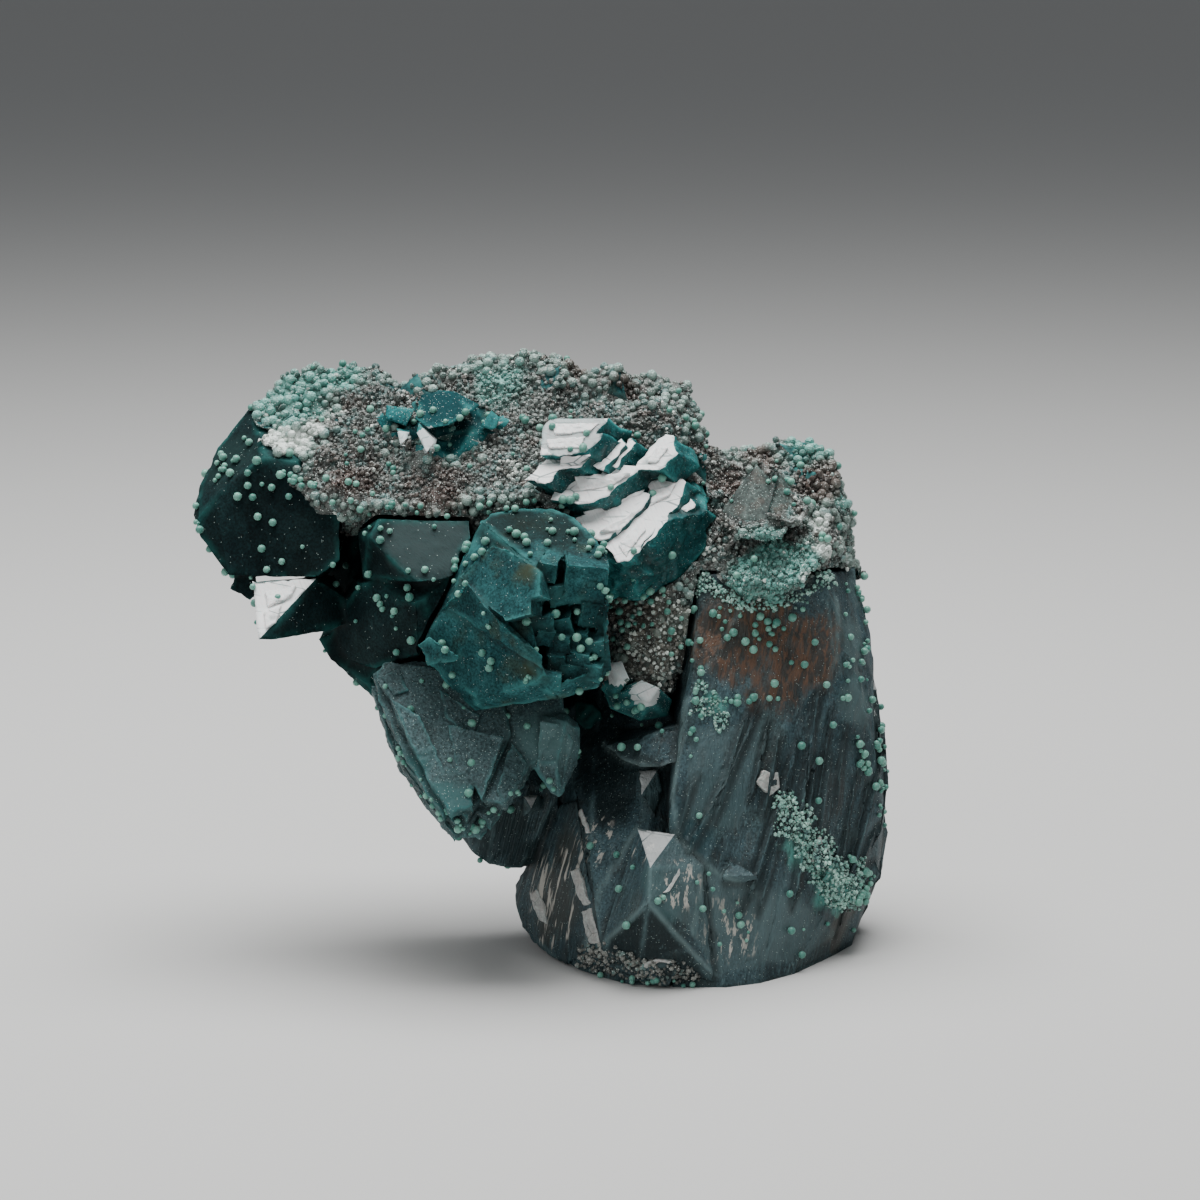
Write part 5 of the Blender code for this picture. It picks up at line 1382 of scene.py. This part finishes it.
def strewn_balls(count, seed):
    """Balls strewn over the sides and the back of the specimen, which the photograph doesn't show."""
    dice = random.Random(seed)
    balls = []
    while len(balls) < count:
        turn = dice.uniform(0, math.tau)
        aim = Vector((dice.uniform(-65, 25), dice.uniform(-5, 15), dice.uniform(15, 85))) * mm
        away = Vector((math.cos(turn), math.sin(turn), dice.uniform(-0.2, 0.7)))
        place, outward, _, _ = solids.ray_cast(aim + away * 0.3, -away)
        if place is None or (outward.y < -0.25 and outward.z < 0.6):
            continue
        balls.append((place, outward, dice.uniform(0.3, 0.75)))
    return balls


def place_tree():
    """One ball at each place, as large as the place's own radius says."""
    tree = bpy.data.node_groups.new("place_balls", "GeometryNodeTree")
    for name, kind in (("Places", "Geometry"), ("Radius", "String"), ("Ball", "Object"),
                       ("Finish", "Material")):
        tree.interface.new_socket(name, in_out="INPUT", socket_type="NodeSocket" + kind)
    tree.interface.new_socket("Balls", in_out="OUTPUT", socket_type="NodeSocketGeometry")
    given = tree.nodes.new("NodeGroupInput").outputs
    result = tree.nodes.new("NodeGroupOutput").inputs
    radius = add(tree, "GeometryNodeInputNamedAttribute", {"Name": given["Radius"]}, data_type="FLOAT")
    size = add(tree, "ShaderNodeMath", {0: radius.outputs["Attribute"], 1: 2.0}, operation="MULTIPLY")
    places = add(tree, "GeometryNodeMeshToPoints", {"Mesh": given["Places"]})
    shape = add(tree, "GeometryNodeObjectInfo", {"Object": given["Ball"]})
    placed = add(tree, "GeometryNodeInstanceOnPoints",
                 {"Points": places.outputs[0], "Instance": shape.outputs["Geometry"],
                  "Scale": size.outputs[0]})
    real = add(tree, "GeometryNodeRealizeInstances", {"Geometry": placed.outputs[0]})
    painted = add(tree, "GeometryNodeSetMaterial", {"Geometry": real.outputs[0], "Material": given["Finish"]})
    tree.links.new(painted.outputs[0], result["Balls"])
    return tree


ball_green = bpy.data.materials.new("ball_green")
ball_green.use_nodes = True
ball_tree = ball_green.node_tree
ball_shader = ball_tree.nodes["Principled BSDF"]
ball_colour = mix(ball_tree, attribute(ball_tree, "tone"), (0.055, 0.225, 0.180), (0.180, 0.420, 0.335))
ball_tree.links.new(ball_colour, ball_shader.inputs["Base Color"])
ball_shader.inputs["Roughness"].default_value = 0.38
ball_shader.inputs["Sheen Weight"].default_value = 0.22
ball_shader.inputs["Sheen Tint"].default_value = (0.85, 1.0, 0.93, 1)
ball_shader.inputs["Subsurface Weight"].default_value = 0.2
ball_shader.inputs["Subsurface Radius"].default_value = (0.5, 1.0, 0.8)
ball_shader.inputs["Subsurface Scale"].default_value = 0.5 * mm

# How far out each ball's middle lies, as a share of its radius
ball_rise = 0.35

balls = ball_places() + strewn_balls(count=420, seed=33)
place_mesh = bpy.data.meshes.new("ball_places")
middles = [place + outward * radius * ball_rise * mm for place, outward, radius in balls]
place_mesh.from_pydata(middles, [], [])
ball_carrier = bpy.data.objects.new("ball_places", place_mesh)
store(ball_carrier, "ball_radius", [radius * mm for _, _, radius in balls])
store(ball_carrier, "tone", np.random.default_rng(4).random(len(balls)))

one_ball = bpy.data.objects.new("one_ball", ball_shape("one_ball", roughness=0.04, rounded=True, seed=3))
one_ball.data.shade_smooth()
grown("green_balls", place_mesh, place_tree(),
      {"Radius": "ball_radius", "Ball": one_ball, "Finish": ball_green})
bpy.data.objects.remove(one_ball)
bpy.data.objects.remove(ball_carrier)

# Bright flakes
# Thin growth plates that have grown flat on the crystals and catch the light: slivers on the standing
# crystal, low steps on the terraces, and raised fingers on the fan crystal, all of the same mineral. Their
# light
# is painted: the slivers pale with some painted gleam, the steps with the terraces' painted gleam.

# Outlines drawn over the photograph
flake_outlines = [
    [(757, 782), (764, 771), (778, 773), (780, 788), (769, 796)], [(811, 861), (820, 836), (829, 859)],
    [(530, 893), (536, 889), (543, 904), (546, 924), (540, 921), (534, 909)],
    [(571, 872), (578, 868), (584, 890), (589, 904), (583, 906), (576, 892)],
    [(582, 912), (590, 908), (597, 934), (599, 944), (590, 944), (585, 932)],
    [(577, 812), (582, 810), (589, 832), (586, 833)],
    [(664, 893), (671, 884), (681, 866), (679, 876), (669, 893)],
    [(640, 966), (655, 960), (671, 962), (667, 970), (646, 973)]]
step_outlines = [
    [(552, 424), (600, 423), (590, 431), (556, 434)], [(547, 440), (585, 437), (580, 447), (549, 448)],
    [(561, 457), (590, 456), (579, 465), (560, 466)], [(575, 477), (630, 472), (612, 486), (580, 492)],
    [(585, 512), (625, 499), (645, 490), (632, 504), (597, 521)],
    [(600, 530), (632, 513), (642, 508), (618, 532)], [(652, 490), (676, 484), (669, 496), (650, 505)],
    [(618, 545), (640, 524), (645, 530), (626, 556)], [(655, 447), (668, 448), (656, 463), (648, 462)],
    [(265, 592), (297, 586), (290, 597), (268, 606)], [(264, 612), (282, 604), (276, 622), (266, 630)]]
finger_outlines = [
    [(448, 725), (503, 737), (482, 800), (474, 786), (466, 806), (458, 776)],
    [(512, 742), (528, 764), (517, 786), (505, 804), (497, 790)],
    [(392, 700), (420, 716), (462, 812), (452, 808), (440, 786), (428, 776), (410, 742)],
    [(540, 722), (562, 724), (574, 742), (560, 790), (552, 792), (538, 768)],
    [(382, 676), (400, 670), (408, 690), (394, 696)], [(440, 690), (480, 716), (470, 742), (446, 716)]]


def flakes(name, outlines, rise, sink, stray, finish):
    """Thin plates with the given outlines, laid on what the photograph shows there; sizes in millimetres."""
    body = bmesh.new()
    for outline in outlines:
        spots = [spot(pixel) for pixel in outline]
        middle = sum((place for place, _ in spots), Vector()) / len(spots)
        lie = sum((outward for _, outward in spots), Vector()).normalized()
        tops = []
        for place, _ in spots:
            way = (place - eye).normalized()
            tops.append(intersect_line_plane(eye, eye + way, middle + lie * rise * mm, lie))
        upper = [body.verts.new(top) for top in tops]
        lower = [body.verts.new(top - lie * (rise + sink) * mm) for top in tops]
        body.faces.new(upper)
        body.faces.new(lower[::-1])
        for number in range(len(upper)):
            after = (number + 1) % len(upper)
            body.faces.new((upper[number], lower[number], lower[after], upper[after]))
    bmesh.ops.recalc_face_normals(body, faces=body.faces)
    piece = skin(body, name, size=0.45 * mm, seed=15)
    points = points_of(piece)
    frayed = points + stray * (0.5 * wander(points, 1.1 * mm, 90) + 0.4 * wander(points, 0.5 * mm, 95)) * mm
    piece.data.vertices.foreach_set("co", frayed.ravel())
    piece.data.update()
    # Every face gets the painted gleam, as far as its finish allows
    shine_on(piece, 1.0)
    piece.data.materials.append(finish)
    return piece


flake_painted_gleam = crystal_material(
    "flake_painted_gleam", deep=(0.10, 0.11, 0.10), light=(0.34, 0.36, 0.33),
    rim=(0.5, 0.52, 0.50), tinge=(0.22, 0.18, 0.15),
    tinge_amount=0.6, rim_width=0.5, rim_strength=0.5, line_turn=(0.4, 0.3, 0.0), line_strength=0.4,
    speck_amount=0.1, roughness=0.25, painted_gleam_amount=0.30, cloud_size=2.0)
bright_flakes = flakes("bright_flakes", flake_outlines, rise=0.04, sink=0.9, stray=0.28, finish=flake_painted_gleam)
terrace_steps = flakes("terrace_steps", step_outlines, rise=0.28, sink=0.6, stray=0.3, finish=stepped_teal)
fan_fingers = flakes("fan_fingers", finger_outlines, rise=0.45, sink=0.8, stray=0.3, finish=fan_teal)
shine_on(fan_fingers, 0.0)
for piece, slot in ((bright_flakes, "standing_crystal"), (terrace_steps, "stepped_crystal"),
                    (fan_fingers, "fan_crystal")):
    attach(piece, "root")

# Crystals in the gaps
# Small dark crystals fill the chinks where the large ones meet. Each is a double pyramid of the same mineral,
# grown onto the nearest of them.

# Pixel of the middle, and radius in millimetres
gap_pixels = [((566, 697), 2.4), ((573, 691), 2.0), ((558, 705), 2.4), ((425, 655), 2.0), ((420, 660), 1.8),
              ((340, 540), 2.0), ((342, 575), 2.2), ((470, 530), 1.6), ((590, 715), 2.6)]


def rooted(pixel):
    """The place behind a pixel that lies nearest to the solids, and how far from them it is."""
    tried = [seen(*measured(pixel), depth * 0.5) for depth in range(-30, 50)]
    reach, best = min((solids.find_nearest(place)[3], number) for number, place in enumerate(tried))
    return tried[best], reach


def gap_crystals():
    """One mesh with a small double pyramid at each chink."""
    dice = random.Random(8)
    body = bmesh.new()
    for pixel, radius in gap_pixels:
        place, reach = rooted(pixel)
        size = radius * mm + reach
        turned = Euler([dice.uniform(0, math.tau) for _ in range(3)])
        corners = []
        for sign in (-1, 1):
            corners.append(Vector((0, 0, 1.25 * sign)))
            for quarter in range(4):
                turn = math.tau * quarter / 4 + 0.3
                corners.append(Vector((math.cos(turn), math.sin(turn), 0.35 * sign)))
        made = []
        for corner in corners:
            corner.rotate(turned)
            made.append(body.verts.new(place + corner * size))
        bmesh.ops.convex_hull(body, input=made)
    bmesh.ops.dissolve_limit(body, angle_limit=math.radians(1), verts=body.verts, edges=body.edges)
    return skin(body, "gap_crystals", size=0.8 * mm, seed=17)


chinks = gap_crystals()
chinks.data.materials.append(end_teal)
shine_on(chinks, 0.0)
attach(chinks, "root")

# The grains are plain meshes now, so the shapes they were copied from go
for kinds in (knots, sharps):
    for item in list(kinds.objects):
        bpy.data.objects.remove(item)
    bpy.data.collections.remove(kinds)
